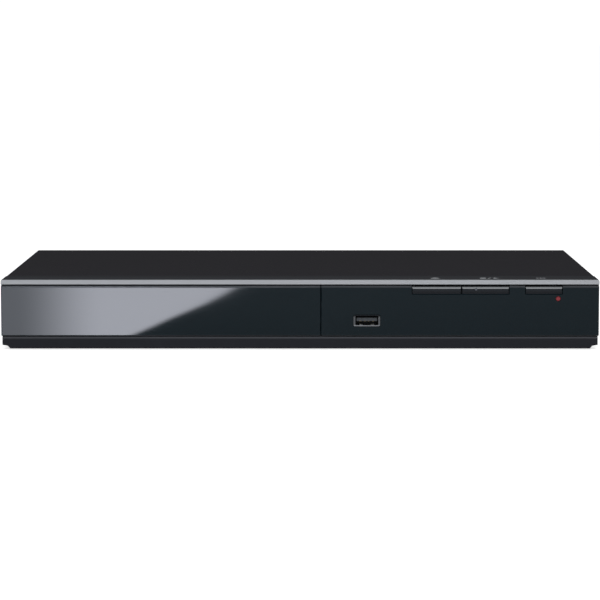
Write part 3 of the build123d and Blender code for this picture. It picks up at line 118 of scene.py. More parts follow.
class Finish(Nodes):
    """One finish: a Principled shader, and the nodes that vary it over the surface in object metres."""

    def __init__(self, name, **fixed):
        self.material = bpy.data.materials.new(name)
        self.material.use_nodes = True
        super().__init__(self.material.node_tree)
        self.shader = self.tree.nodes["Principled BSDF"]
        for socket, value in fixed.items():
            self.shader.inputs[socket.replace("_", " ")].default_value = value
        self.place = self.node("TexCoord", {}, {}, "Object")

    def along(self, axis):
        """The distance along x, y or z, in metres."""
        return self.node("SeparateXYZ", {}, {0: self.place}, "xyz".index(axis))

    def stretched(self, x, y, z):
        """The place with each axis multiplied, which stretches a pattern where the number is small."""
        return self.node("Mapping", {}, {"Vector": self.place, "Scale": (x, y, z)})

    def cloud(self, per_metre, detail=3.0, place=None, rough=0.5):
        """Soft noise from 0 to 1."""
        sockets = {"Vector": place or self.place, "Scale": per_metre, "Detail": detail, "Roughness": rough}
        return self.node("TexNoise", {}, sockets)

    def cells(self, per_metre, out="Distance", place=None):
        """Voronoi cells: the distance to their middles, or a random colour for each cell."""
        sockets = {"Vector": place or self.place, "Scale": per_metre}
        return self.node("TexVoronoi", {}, sockets, out)

    def tint(self, share, low, high):
        """A colour between two colours."""
        low, high = ((*c, 1.0) if isinstance(c, tuple) else c for c in (low, high))
        return self.node("Mix", {"data_type": "RGBA"}, {0: share, 6: low, 7: high}, 2)

    def vary(self, socket, level):
        self.tree.links.new(level.socket, self.shader.inputs[socket])

    def colour(self, level):
        self.vary("Base Color", level)

    def relief(self, height, depth, strength=1.0):
        """Bump: height from 0 to 1 over depth metres."""
        bump = self.node("Bump", {}, {"Strength": strength, "Distance": depth, "Height": height})
        self.vary("Normal", bump)


def dress(finish, *nodes):
    """Gives the CAD nodes this finish."""
    for node in nodes:
        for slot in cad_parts[node].material_slots:
            slot.material = finish.material


zinc = Finish("zinc_sheet", Metallic=1.0)
flakes = zinc.cells(170.0, "Color")
flake = zinc.node("SeparateColor", {}, {0: flakes})
grain = zinc.cloud(900.0, 2.0, zinc.stretched(0.02, 1.0, 1.0))
dirt = zinc.cloud(22.0, 5.0, rough=0.65).rise(0.45, 0.8)
clean_zinc = zinc.tint(flake * 0.5 + grain * 0.5, (0.62, 0.63, 0.64), (0.80, 0.81, 0.82))
zinc.colour(zinc.tint(dirt * 0.5, clean_zinc, (0.46, 0.46, 0.45)))
zinc.vary("Roughness", 0.34 + flake * 0.16 + dirt * 0.12)
zinc.relief(grain * 0.6 + flake * 0.4, 0.00003)
dress(zinc, "bottom_chassis", "rear_panel", "traverse_plate", "clamper_bridge", "clamper_yoke")

# The feet, the dampers, the belt and the turntable's ring are black rubber, matt, faintly mottled and a
# little dusty. The feet are pressed into the floor pan, and rings are moulded in their soles.
rubber = Finish("rubber", Specular_IOR_Level=0.2)
mottle = rubber.cloud(420.0, 4.0, rough=0.65)
bloom = rubber.cloud(45.0, 4.0).rise(0.48, 0.8)
rubber.colour(rubber.tint(mottle * 0.5 + bloom * 0.5, (0.014, 0.014, 0.015), (0.047, 0.046, 0.045)))
rubber.vary("Roughness", 0.72 + mottle * 0.18)
feet_low, feet_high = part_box("rubber_feet")
foot_size = 0.0180
feet_middle = (feet_low.y + feet_high.y) / 2
foot_x = rubber.along("x").size() - (feet_high.x - foot_size / 2)
foot_y = (rubber.along("y") - feet_middle).size() - (feet_high.y - feet_middle - foot_size / 2)
tread = ((foot_x * foot_x + foot_y * foot_y) ** 0.5 * 4200.0).wave() * (rubber.along("z") < 0.0002)
rubber.relief(mottle * 0.2 + tread * 0.8, 0.0003)
dress(rubber, "rubber_feet", "traverse_dampers", "drive_belt", "turntable_pad")

# The circuit boards are glass laminate with green solder mask over copper, held by screws. Tracks show as
# slightly lighter lines on a grid, and tinned dots mark the holes where leads come through.
laminate = Finish("circuit_board", Specular_IOR_Level=0.5)
across, deep = laminate.along("x"), laminate.along("y")
track_noise = laminate.cells(330.0, "Color", place=laminate.stretched(1.0, 0.35, 1.0))
track_share = laminate.node("SeparateColor", {}, {0: track_noise})
lines = ((across.repeat(0.0013) - 0.00065).size() < 0.00026) * (track_share > 0.55)
cross_lines = ((deep.repeat(0.0017) - 0.00085).size() < 0.0003) * (track_share < 0.2)
dots = (laminate.cells(210.0) < 0.16) * (laminate.cloud(24.0, 1.0) > 0.46)
board_green = laminate.tint(lines * 0.8 + cross_lines * 0.7, (0.004, 0.060, 0.028), (0.012, 0.125, 0.055))
laminate.colour(laminate.tint(dots, board_green, (0.52, 0.52, 0.50)))
laminate.vary("Roughness", 0.32 + laminate.cloud(160.0, 3.0) * 0.2)
laminate.vary("Metallic", dots * 0.8)
laminate.relief(lines * 0.5 + cross_lines * 0.4 + dots * 0.6, 0.00004)
dress(laminate, "front_board", "main_board", "power_board")

# Chips and switches are moulded epoxy and the transformer's core is sintered ferrite, dark grey and matt. All
# are soldered to the boards. The transformer's windings lie under yellow tape between its core halves.
epoxy = Finish("moulded_resin", Specular_IOR_Level=0.35)
speck = epoxy.cloud(1500.0, 4.0)
core_low, core_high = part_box("power_transformer")
core = (core_low + core_high) / 2
tape_x, tape_y, tape_low, tape_high = 0.0066, 0.0105, core_low.z + 0.0031, core_high.z - 0.0041
z_at = epoxy.along("z")
taped = ((epoxy.along("x") - core.x).size() < tape_x) * ((epoxy.along("y") - core.y).size() < tape_y)
taped *= (z_at > tape_low) * (z_at < tape_high)
turns = (z_at * 5200.0).wave() * 0.5 + 0.5
tape = epoxy.tint(turns * 0.4 + speck * 0.3, (0.50, 0.34, 0.03), (0.66, 0.48, 0.07))
epoxy.colour(epoxy.tint(taped, epoxy.tint(speck, (0.010, 0.010, 0.011), (0.030, 0.030, 0.031)), tape))
epoxy.vary("Roughness", 0.5 + speck * 0.25)
epoxy.relief(speck * 0.5 + turns * taped * 0.5, 0.00004)
dress(epoxy, "key_switches", "main_chips", "power_transformer")

# The capacitors are aluminium cans in shrunk dark blue sleeves, soldered upright to the boards. Their tops
# stay bare.
sleeve = Finish("capacitor_sleeve", Specular_IOR_Level=0.5)
facing = sleeve.node("NewGeometry", {}, {}, "Normal")
up = sleeve.node("SeparateXYZ", {}, {0: facing}, 2).rise(0.6, 0.9)
shrink = sleeve.cloud(500.0, 3.0)
sleeve.colour(
    sleeve.tint(up, sleeve.tint(shrink, (0.010, 0.014, 0.032), (0.020, 0.028, 0.060)), (0.62, 0.62, 0.63))
)
sleeve.vary("Metallic", up)
sleeve.vary("Roughness", 0.3 + shrink * 0.15)
sleeve.relief(shrink, 0.00003)
dress(sleeve, "board_capacitors")

# The heat sink is extruded aluminium. The die leaves fine lines along its height, and its foot is soldered
# to the power board.
extruded = Finish("extruded_aluminium", Metallic=1.0)
die_lines = extruded.cloud(1500.0, 3.0, extruded.stretched(1.0, 1.0, 0.03))
extruded.colour(extruded.tint(die_lines, (0.44, 0.44, 0.45), (0.62, 0.62, 0.63)))
extruded.vary("Roughness", 0.34 + die_lines * 0.16)
extruded.relief(die_lines, 0.00004)
dress(extruded, "power_heatsink")

# The mains filter's coil, the fuse block and the plug blocks of the power board are wrapped in glossy yellow
# tape or moulded from yellow resin, and soldered on.
filter_tape = Finish("filter_yellow", Specular_IOR_Level=0.5)
folds = filter_tape.cloud(400.0, 3.0, filter_tape.stretched(0.2, 1.0, 1.0))
filter_tape.colour(filter_tape.tint(folds, (0.46, 0.32, 0.035), (0.66, 0.50, 0.08)))
filter_tape.vary("Roughness", 0.24 + folds * 0.2)
filter_tape.relief(folds, 0.00008)
dress(filter_tape, "power_parts")

# Tinned legs stand along the chips' edges. Each leaves the body at half its height, bends down and ends in a
# flat foot on the board. Chips as deep as they are wide have legs on all four sides.
tinned = Finish("tinned_copper", Metallic=1.0)
solder = tinned.cloud(2000.0, 3.0)
tinned.colour(tinned.tint(solder, (0.52, 0.52, 0.53), (0.72, 0.72, 0.73)))
tinned.vary("Roughness", 0.26 + solder * 0.2)
tinned.relief(solder, 0.00003)


def carried(path, outline, up=(0.0, 0.0, 1.0)):
    """Sections of a tube: the outline's points a, b set out to the side of the path and towards up."""
    path = np.asarray(path, float)
    ahead = np.gradient(path, axis=0)
    side = np.cross(ahead, up)
    side /= np.linalg.norm(side, axis=1)[:, None]
    lift = np.cross(side, ahead)
    lift /= np.linalg.norm(lift, axis=1)[:, None]
    outline = np.asarray(outline, float)
    return path[:, None] + outline[None, :, :1] * side[:, None] + outline[None, :, 1:] * lift[:, None]


def strap(width, thickness):
    """The outline of a flat strip with its corners cut."""
    a, b, cut = width / 2, thickness / 2, thickness / 4
    right = [(a - cut, -b), (a, -b + cut), (a, b - cut), (a - cut, b)]
    return right + [(-x, -y) for x, y in right]


def skin(name, body, finish, grids, looped=False):
    """A piece made of grids of points. Each is closed round its sections, and its ends meet or are capped."""
    points, faces, start = [], [], 0
    for grid in grids:
        rows, columns = grid.shape[:2]
        index = start + np.arange(rows * columns).reshape(rows, columns)
        following = np.roll(index, -1, axis=1)
        quads = np.stack([index, following, np.roll(following, -1, axis=0), np.roll(index, -1, axis=0)], -1)
        faces += (quads if looped else quads[:-1]).reshape(-1, 4).tolist()
        if not looped:
            faces += [index[0, ::-1].tolist(), index[-1].tolist()]
        points.append(grid.reshape(-1, 3))
        start += rows * columns
    mesh = bpy.data.meshes.new(name)
    mesh.from_pydata(np.concatenate(points).tolist(), [], faces)
    outward = bmesh.new()
    outward.from_mesh(mesh)
    bmesh.ops.recalc_face_normals(outward, faces=outward.faces)
    outward.to_mesh(mesh)
    outward.free()
    mesh.polygons.foreach_set("use_smooth", np.ones(len(mesh.polygons), bool))
    if not looped:
        mesh.set_sharp_from_angle(angle=radians(32))
    mesh.materials.append(finish.material)
    piece = bpy.data.objects.new(name, mesh)
    bpy.context.scene.collection.objects.link(piece)
    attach(piece, body)


def loose_boxes(node):
    """The boxes of a CAD node's separate solids, found by giving linked points the same lowest number."""
    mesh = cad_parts[node].data
    points = np.empty(len(mesh.vertices) * 3)
    mesh.vertices.foreach_get("co", points)
    places, same = np.unique(points.reshape(-1, 3).round(6), axis=0, return_inverse=True)
    ends = np.empty(len(mesh.edges) * 2, int)
    mesh.edges.foreach_get("vertices", ends)
    first, second = same.reshape(-1)[ends.reshape(-1, 2)].T
    group = np.arange(len(places))
    changed = True
    while changed:
        before = group.copy()
        lowest = np.minimum(group[first], group[second])
        np.minimum.at(group, first, lowest)
        np.minimum.at(group, second, lowest)
        group = group[group]
        changed = bool((group != before).any())
    return [(places[group == g].min(0), places[group == g].max(0)) for g in np.unique(group)]


leg_pitch = 0.0010
leg_out = np.array([-0.0002, 0.0003, 0.0005, 0.0007, 0.0012])
legs = []
for low, high in loose_boxes("main_chips"):
    middle, size = (low + high) / 2, high - low
    leg_z = low[2] + 0.00008 + np.array([1.0, 1.0, 0.5, 0.0, 0.0]) * size[2] * 0.45
    square = abs(size[0] - size[1]) < 0.002
    for axis in (0, 1) if square else (1,):
        count = int((size[1 - axis] - 0.0012) / leg_pitch)
        for leg in range(count):
            for side in (-1, 1):
                path = np.zeros((5, 3))
                path[:, axis] = middle[axis] + side * (size[axis] / 2 + leg_out)
                path[:, 1 - axis] = middle[1 - axis] + (leg - (count - 1) / 2) * leg_pitch
                path[:, 2] = leg_z
                legs.append(carried(path, strap(0.0004, 0.00014)))
skin("chip_legs", "case", tinned, legs)

# Small resistors and capacitors are soldered all over the main board between the larger parts: a dark body
# with a tinned cap at each end. Their places are drawn from a fixed seed and kept off the other parts.
places = np.random.default_rng(11)
part_count = 150
margin = 0.003
board_low, board_high = (np.array(corner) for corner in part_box("main_board"))
keep_off = loose_boxes("main_chips") + loose_boxes("board_capacitors") + loose_boxes("board_screws")
keep_off += loose_boxes("av_sockets")
bodies, caps = [], []
while len(bodies) < part_count:
    spot = board_low + places.random(3) * (board_high - board_low)
    spot[2] = board_high[2] + 0.00035
    turned_round = places.random() > 0.5
    near = [all(low[i] - margin < spot[i] < high[i] + margin for i in (0, 1)) for low, high in keep_off]
    on_board = all(board_low[i] + margin < spot[i] < board_high[i] - margin for i in (0, 1))
    if any(near) or not on_board:
        continue
    keep_off.append((spot - 0.0005, spot + 0.0005))
    ahead = np.array([0.0, 1.0, 0.0]) if turned_round else np.array([1.0, 0.0, 0.0])
    run = np.linspace(-1, 1, 5)[:, None] * ahead
    bodies.append(carried(spot + run * 0.0008, strap(0.0011, 0.0006)))
    for side in (-1, 1):
        caps.append(carried(spot + side * ahead * 0.0009 + run * 0.00022, strap(0.0012, 0.0007)))
skin("small_parts", "case", epoxy, bodies)
skin("small_part_ends", "case", tinned, caps)

# The blocks of the rear sockets and the mains inlet are moulded from black nylon, with a fine even grain. The
# blocks are soldered to the board, and the inlet snaps into the rear wall.
nylon = Finish("black_nylon", Specular_IOR_Level=0.35)
nylon_grain = nylon.cloud(1700.0, 3.0)
nylon.colour(nylon.tint(nylon_grain, (0.010, 0.010, 0.011), (0.026, 0.026, 0.028)))
nylon.vary("Roughness", 0.4 + nylon_grain * 0.2)
nylon.relief(nylon_grain, 0.00004)
dress(nylon, "av_sockets", "mains_inlet")

# The barrels of the rear sockets, the inlet's pins and the pickup's guide rods are bright nickel over steel
# or brass. They are drawn and tumbled, so the shine is broken by very fine lines.
nickel = Finish("bright_nickel", Metallic=1.0)
drawn = nickel.cloud(1700.0, 3.0, nickel.stretched(1.0, 0.05, 1.0))
tarnish = nickel.cloud(60.0, 4.0).rise(0.5, 0.85)
nickel.colour(nickel.tint(tarnish * 0.6 + drawn * 0.3, (0.66, 0.66, 0.67), (0.50, 0.49, 0.46)))
nickel.vary("Roughness", 0.14 + drawn * 0.1 + tarnish * 0.1)
nickel.relief(drawn, 0.00001)
dress(nickel, "socket_barrels", "inlet_pins", "guide_rods")

# The insulators in the rear barrels are moulded from dyed plastic in the usual colours: yellow, white and red
# in the lower row, green, blue and red above, and orange for the single one.
dyed = Finish("dyed_insulators", Specular_IOR_Level=0.5)
low_end, high_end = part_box("socket_inserts")
column = dyed.along("x")
upper = dyed.along("z") > (low_end.z + high_end.z) / 2
column_ends = (0.0095, 0.0235, 0.0395)
first, second, single = (column > low_end.x + end for end in column_ends)
row_low = dyed.tint(second, dyed.tint(first, (0.72, 0.50, 0.02), (0.72, 0.72, 0.70)), (0.56, 0.02, 0.02))
row_high = dyed.tint(second, dyed.tint(first, (0.02, 0.30, 0.06), (0.02, 0.08, 0.50)), (0.56, 0.02, 0.02))
dye_grain = dyed.cloud(1300.0, 2.0)
plain = dyed.tint(single, dyed.tint(upper, row_low, row_high), (0.72, 0.20, 0.02))
dyed.colour(dyed.tint(dye_grain * 0.35, plain, (0.10, 0.10, 0.10)))
dyed.vary("Roughness", 0.28 + dye_grain * 0.2)
dyed.relief(dye_grain, 0.00003)
dress(dyed, "socket_inserts")

# Each rear socket has a nickel collar pressed round its barrel against the panel. The collar is a torus cut
# in half: points at r + b cos a, b sin a for a from 0 to pi, turned round the barrel's axis.


def turned(centre, profile):
    """Sections of a closed ring: the profile's points of radius and height carried round the y axis."""
    turn = np.linspace(0, 2 * pi, 40, endpoint=False)[:, None]
    radius, height = np.asarray(profile, float).T
    return np.stack([np.cos(turn) * radius, height + 0 * turn, np.sin(turn) * radius], -1) + centre


panel_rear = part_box("rear_panel")[1].y
bead = np.linspace(0, pi, 9)
bead_radius, collar_radius = 0.00065, 0.00485
collar_outline = [(collar_radius + bead_radius * cos(a), bead_radius * sin(a)) for a in bead]
collars = [
    turned(((low[0] + high[0]) / 2, panel_rear + 0.00002, (low[2] + high[2]) / 2), collar_outline)
    for low, high in loose_boxes("socket_barrels")
]
skin("socket_collars", "case", nickel, collars, looped=True)

# Between the boards run a flat white ribbon with printed conductors and four round wires. Both plug into
# blocks on the boards.
ribbon = Finish("cable_white", Specular_IOR_Level=0.45)
conductors = ((ribbon.along("x").repeat(0.001) - 0.0005).size() < 0.00028) * (ribbon.along("y") < 0.0)
scuff = ribbon.cloud(500.0, 3.0)
ribbon.colour(ribbon.tint(conductors * 0.5 + scuff * 0.2, (0.72, 0.71, 0.67), (0.42, 0.41, 0.38)))
ribbon.vary("Roughness", 0.36 + scuff * 0.18)
ribbon.relief(conductors * 0.7 + scuff * 0.3, 0.00004)
dress(ribbon, "front_cable", "power_harness")

# The loader's frame, the tray, the frame of the traverse and the clamp puck are moulded from black plastic,
# coarser in grain than the front. Discs and fingers rub them a little smoother in patches.
loader_plastic = Finish("loader_plastic", Specular_IOR_Level=0.3)
pebble = loader_plastic.cloud(1500.0, 3.0)
rub = loader_plastic.cloud(70.0, 4.0, rough=0.6).rise(0.52, 0.8)
loader_plastic.colour(
    loader_plastic.tint(pebble * 0.6 + rub * 0.4, (0.017, 0.017, 0.019), (0.038, 0.038, 0.041))
)
loader_plastic.vary("Roughness", 0.44 + pebble * 0.16 - rub * 0.06)
loader_plastic.relief(pebble, 0.00005)
dress(loader_plastic, "loader_frame", "disc_tray", "traverse_frame", "clamper_puck")

# The motors have deep-drawn cans of plated steel with fine rings round them from the drawing tool. They are
# pressed into the frame's turret and screwed under the traverse plate.
can = Finish("motor_can", Metallic=1.0)
rings = (can.along("z") * 9000.0 + can.cloud(300.0, 2.0) * 4.0).wave() * 0.5 + 0.5
stain = can.cloud(90.0, 4.0).rise(0.5, 0.8)
can.colour(can.tint(rings * 0.3 + stain * 0.5, (0.55, 0.55, 0.55), (0.40, 0.39, 0.37)))
can.vary("Roughness", 0.24 + rings * 0.08 + stain * 0.14)
can.relief(rings, 0.00001)
dress(can, "loading_motor", "spindle_motor", "feed_motor")

# The pulley and the pinion on the motors' shafts are turned from brass and pressed on. The lathe leaves fine
# rings.
brass = Finish("turned_brass", Metallic=1.0)
lathe = brass.cloud(2600.0, 2.0, brass.stretched(0.2, 0.2, 1.0))
brass.colour(brass.tint(lathe, (0.62, 0.43, 0.16), (0.74, 0.56, 0.26)))
brass.vary("Roughness", 0.22 + lathe * 0.16)
brass.relief(lathe, 0.00002)
dress(brass, "motor_pulley", "feed_pinion")

# The gears, the pickup's rack and the cam slider are white acetal, waxy, with a film of grease that darkens
# it in patches. They turn and slide on posts of the frame.
acetal = Finish("white_acetal", Specular_IOR_Level=0.5)
wax = acetal.cloud(260.0, 3.0)
grease = acetal.cloud(120.0, 4.0, rough=0.6).rise(0.5, 0.72)
acetal.colour(acetal.tint(grease * 0.6 + wax * 0.2, (0.74, 0.73, 0.69), (0.52, 0.49, 0.40)))
acetal.vary("Roughness", 0.38 - grease * 0.2 + wax * 0.08)
acetal.relief(wax, 0.00003)
dress(acetal, "drive_gear", "pulley_gear", "cam_slider", "feed_gear", "feed_rack")

# The pickup is a zinc casting with a bead-blasted skin, which slides on the guide rods. A black cap over it
# holds the lens, whose coating shows blue and violet.
casting = Finish("pickup_casting", Metallic=1.0)
blasted = casting.cloud(1800.0, 4.0)
casting.colour(casting.tint(blasted, (0.40, 0.40, 0.41), (0.60, 0.60, 0.61)))
casting.vary("Roughness", 0.42 + blasted * 0.2)
casting.relief(blasted, 0.00006)
dress(casting, "pickup_body")
cap = Finish("pickup_cap", Specular_IOR_Level=0.35)
cap_grain = cap.cloud(2200.0, 2.0)
cap.colour(cap.tint(cap_grain, (0.012, 0.012, 0.013), (0.028, 0.028, 0.030)))
cap.vary("Roughness", 0.42 + cap_grain * 0.18)
cap.relief(cap_grain, 0.00003)
dress(cap, "pickup_cover")
lens = Finish("coated_lens", Specular_IOR_Level=0.8, Roughness=0.03, Coat_Weight=1.0, Coat_Roughness=0.02)
coating = lens.cloud(300.0, 2.0)
lens.colour(lens.tint(coating, (0.10, 0.14, 0.30), (0.20, 0.12, 0.34)))
lens.relief(coating, 0.000002)
dress(lens, "pickup_lens")

# The turntable is the spindle motor's rotor with its hub, moulded from dark grey plastic with glass fibres
# and pressed on the motor's shaft.
rotor = Finish("rotor_grey", Specular_IOR_Level=0.4)
fibres = rotor.cloud(1900.0, 3.0, rotor.stretched(1.0, 0.3, 1.0))
rotor.colour(rotor.tint(fibres, (0.065, 0.066, 0.070), (0.135, 0.136, 0.142)))
rotor.vary("Roughness", 0.4 + fibres * 0.2)
rotor.relief(fibres, 0.00004)
dress(rotor, "turntable")

# Three sprung claws stand round the hub and hold the disc's hole. Each is a small hook whose back follows a
# quarter circle from the hub's side to its top.
hub_low, hub_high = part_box("turntable")
hub = np.array([(hub_low.x + hub_high.x) / 2, (hub_low.y + hub_high.y) / 2, hub_high.z])
bend = np.linspace(0, pi / 2, 9)
claws = []
for turn in (0.5, 0.5 + 2 * pi / 3, 0.5 + 4 * pi / 3):
    out = np.array([cos(turn), sin(turn), 0.0])
    hook = hub + out * (0.0058 + 0.0017 * np.sin(bend)[:, None])
    hook[:, 2] -= 0.0005 + 0.0022 * (1 - np.cos(bend))
    claws.append(carried(hook, strap(0.0024, 0.0006), up=tuple(out + np.array([0, 0, 0.3]))))
skin("hub_claws", "spindle", rotor, claws)

# The screws are zinc plated steel with turned pan heads. They hold the loader, the boards, the bridge, the
# dampers and the cover.
plated_screw = Finish("screw_steel", Metallic=1.0)
turned_marks = plated_screw.cloud(2400.0, 2.0)
plated_screw.colour(plated_screw.tint(turned_marks, (0.34, 0.34, 0.33), (0.58, 0.57, 0.55)))
plated_screw.vary("Roughness", 0.24 + turned_marks * 0.2)
plated_screw.relief(turned_marks, 0.00002)
dress(plated_screw, "cover_screws", "loader_screws", "board_screws", "damper_screws")

# The front frame is moulded from black styrene with a fine spark-eroded grain. A band along the groove
# between the front panel and the skirt is painted paler: painted light that lifts the shade in the gap.
# Behind each key a sign is printed on the ledge in grey ink: an arrowhead over a bar, a square and an
# arrowhead with a stroke between, and a broken ring.
moulded = Finish("moulded_black", Specular_IOR_Level=0.1)
strip_low, strip_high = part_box("trim_strip")
sign_row = strip_low.y + 0.0068
sign_half = 0.0024
line_half = 0.00026
back_of_row = moulded.along("y") - sign_row
on_ledge = moulded.along("z") > strip_high.z - 0.00005


def beside(node, shift):
    """How far a point of the ledge lies to the right of a key's middle, moved by shift."""
    low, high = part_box(node)
    return moulded.along("x") - ((low.x + high.x) / 2 + shift)


tray_x = beside("open_close_key", -0.0006)
tray_sign = (tray_x.size() < (sign_half - back_of_row)) * (back_of_row > -line_half)
tray_sign += (tray_x.size() < sign_half) * ((back_of_row + 0.0016).size() < line_half * 2)
play_x = beside("play_key", 0.0025)
play_sign = ((play_x + 0.0036).size() < 0.0016) * (back_of_row.size() < 0.0016)
play_sign += ((play_x - back_of_row * 0.4).size() < line_half) * (back_of_row.size() < sign_half)
play_sign += (back_of_row.size() < (0.0054 - play_x) * 0.6) * (play_x > 0.0022)
power_x = beside("power_key", -0.0012)
from_middle = power_x * power_x + back_of_row * back_of_row
ring = (from_middle > (sign_half - 2 * line_half) ** 2) * (from_middle < sign_half**2)
stroke = (power_x.size() < line_half) * (back_of_row > 0.0) * (back_of_row < sign_half * 1.15)
power_sign = ring * (1.0 - (power_x.size() < 0.0007) * (back_of_row > 0.0)) + stroke
ink = (tray_sign + play_sign + power_sign) * on_ledge

spark = moulded.cloud(3400.0, 2.0)
touch = moulded.cloud(30.0, 4.0, rough=0.6).rise(0.5, 0.75)
styrene = moulded.tint(spark * 0.7 + touch * 0.3, (0.0150, 0.0158, 0.0196), (0.0260, 0.0274, 0.0330))
panel_low, panel_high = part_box("front_panel")
# A band round the bottom of the front panel, over the gap and the skirt's shoulder, is painted paler: painted
# light in the groove.
in_front = moulded.along("y") < panel_low.y + 0.006
painted_gap_light = 1.0 - (moulded.along("z") - panel_low.z + 0.0006).size().rise(0.0006, 0.0013)
styrene_with_painted_gap_light = moulded.tint(painted_gap_light * in_front * (0.6 + spark * 0.4), styrene, (0.049, 0.050, 0.056))
moulded.colour(moulded.tint(ink * (0.75 + spark * 0.25), styrene_with_painted_gap_light, (0.62, 0.63, 0.65)))
moulded.vary("Roughness", 0.36 - touch * 0.08 + spark * 0.1 + ink * 0.1)
moulded.relief(spark, 0.00003)
dress(moulded, "front_bezel")

# The standby lamp is a red tinted rod that runs from the front board through the panel. Its rounded end
# glows weakly.
lamp = Finish("lamp_red", Specular_IOR_Level=0.35, Roughness=0.3, Emission_Strength=0.06)
swirl = lamp.cloud(900.0, 2.0)
lamp.colour(lamp.tint(swirl, (0.17, 0.022, 0.030), (0.25, 0.038, 0.048)))
lamp.vary("Emission Color", lamp.tint(swirl, (0.55, 0.03, 0.03), (0.75, 0.06, 0.06)))
lamp.relief(swirl, 0.00002)
dress(lamp, "standby_lamp")

# The data socket's shell is folded from duller plated steel. Its colour is painted darker above the lower
# edge and darkest at the top, a painted shade, so only the rim's lower edge stays bright. The tongue inside
# is grey nylon.
shell = Finish("socket_shell", Metallic=1.0)
shell_low, shell_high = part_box("usb_shell")
shell_rise = (shell.along("z") - shell_low.z) / (shell_high.z - shell_low.z)
rolled = shell.cloud(1500.0, 3.0, shell.stretched(0.1, 1.0, 1.0))
# Painted shade: the shell is painted darker above its lower edge and darkest along the top.
painted_shade = shell_rise.rise(0.02, 0.22) * 0.6 + shell_rise.rise(0.78, 0.95) * 0.4
plating = shell.tint(rolled, (0.30, 0.31, 0.33), (0.42, 0.43, 0.45))
shell.colour(shell.tint(painted_shade, plating, (0.020, 0.022, 0.026)))
shell.vary("Roughness", 0.3 + rolled * 0.15)
shell.relief(rolled, 0.00001)
dress(shell, "usb_shell")
tongue = Finish("tongue_grey", Specular_IOR_Level=0.4)
tongue_grain = tongue.cloud(1800.0, 3.0)
tongue.colour(tongue.tint(tongue_grain, (0.048, 0.053, 0.060), (0.074, 0.080, 0.089)))
tongue.vary("Roughness", 0.4 + tongue_grain * 0.2)
tongue.relief(tongue_grain, 0.00003)
dress(tongue, "usb_tongue")

# Four gilded contacts lie along the tongue's underside and rise a little at their tips. Two sprung fingers
# cut from the shell's floor press the plug up: each rises and falls as a half sine along its length.
gilt = Finish("gilded_contact", Metallic=1.0)
gilt_wear = gilt.cloud(1800.0, 3.0)
gilt.colour(gilt.tint(gilt_wear, (0.62, 0.46, 0.20), (0.80, 0.66, 0.36)))
gilt.vary("Roughness", 0.2 + gilt_wear * 0.15)
gilt.relief(gilt_wear, 0.00001)
tongue_low, tongue_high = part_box("usb_tongue")
socket_x, socket_z = (tongue_low.x + tongue_high.x) / 2, (tongue_low.z + tongue_high.z) / 2
along_tongue = np.linspace(0, 1, 14)
contact_y = tongue_low.y + 0.0002 + along_tongue * 0.0075
contact_z = socket_z - 0.00036 - 0.00022 * np.sin(pi * along_tongue)
contacts = [
    carried(np.stack([np.full(14, socket_x + x), contact_y, contact_z], -1), strap(0.0010, 0.00012))
    for x in (-0.0035, -0.0010, 0.0010, 0.0035)
]
skin("usb_contacts", "case", gilt, contacts)
finger_y = shell_low.y + 0.0011 + along_tongue * 0.0062
finger_z = shell_low.z + 0.00064 + 0.0006 * np.sin(pi * along_tongue)
fingers = [
    carried(np.stack([np.full(14, socket_x + x), finger_y, finger_z], -1), strap(0.0016, 0.0002))
    for x in (-0.0031, 0.0031)
]
bright = Finish("sprung_steel", Metallic=1.0)
flexed = bright.cloud(1600.0, 3.0)
bright.colour(bright.tint(flexed, (0.60, 0.60, 0.61), (0.78, 0.78, 0.79)))
bright.vary("Roughness", 0.28 + flexed * 0.16)
bright.relief(flexed, 0.00001)
skin("usb_springs", "case", bright, fingers)

# The keys come from the same styrene as the frame but from a polished tool. The lower half of each bevel is
# lacquered and mirrors the light above it as a thin line. A dot raised on the play key is painted pale, a
# painted highlight for the light it catches, and has no lacquer.
key_plastic = Finish("key_plastic", Specular_IOR_Level=0.28, Coat_Roughness=0.06)
play_low, play_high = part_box("play_key")
key_drop = play_high.z - key_plastic.along("z")
lacquer = key_drop.rise(0.0003, 0.0005) * (1.0 - key_drop.rise(0.00105, 0.0012))
dot_x = key_plastic.along("x") - (play_low.x + 0.0076)
dot_z = key_drop - 0.0015
# The raised dot is painted pale: a painted highlight.
raised_dot_with_painted_glint = 1.0 - ((dot_x * dot_x + dot_z * dot_z) ** 0.5).rise(0.0005, 0.0010)
key_grain = key_plastic.cloud(2600.0, 2.0)
key_touch = key_plastic.cloud(60.0, 4.0, rough=0.6).rise(0.5, 0.8)
key_black = key_plastic.tint(key_grain, (0.0054, 0.0072, 0.0112), (0.0094, 0.0118, 0.0170))
key_plastic.colour(key_plastic.tint(raised_dot_with_painted_glint * (0.7 + key_grain * 0.3), key_black, (0.115, 0.120, 0.140)))
key_plastic.vary("Roughness", 0.15 + key_grain * 0.05 - key_touch * 0.03)
key_plastic.vary("Coat Weight", lacquer * (1.0 - raised_dot_with_painted_glint))
key_plastic.relief(key_grain * 0.02 + raised_dot_with_painted_glint, 0.0005)
dress(key_plastic, "open_close_key", "play_key", "power_key")

# The panel at the right of the seam and the lid on the tray are polished black acrylic. Only faint waves in
# the sheet, hair-fine wipe marks and a trace of dust break the gloss. Their upper and lower rims are sawn and
# bevelled and stay matt, and are painted a little paler: a painted highlight where the edges catch the light.
gloss = Finish("polished_black", Specular_IOR_Level=0.19)
wipes = gloss.cloud(260.0, 4.0, gloss.stretched(0.1, 1.0, 1.0), 0.7)
smear = gloss.cloud(17.0, 4.0, rough=0.6).rise(0.5, 0.8)
dust = 1.0 - gloss.cells(1100.0).rise(0.02, 0.06)
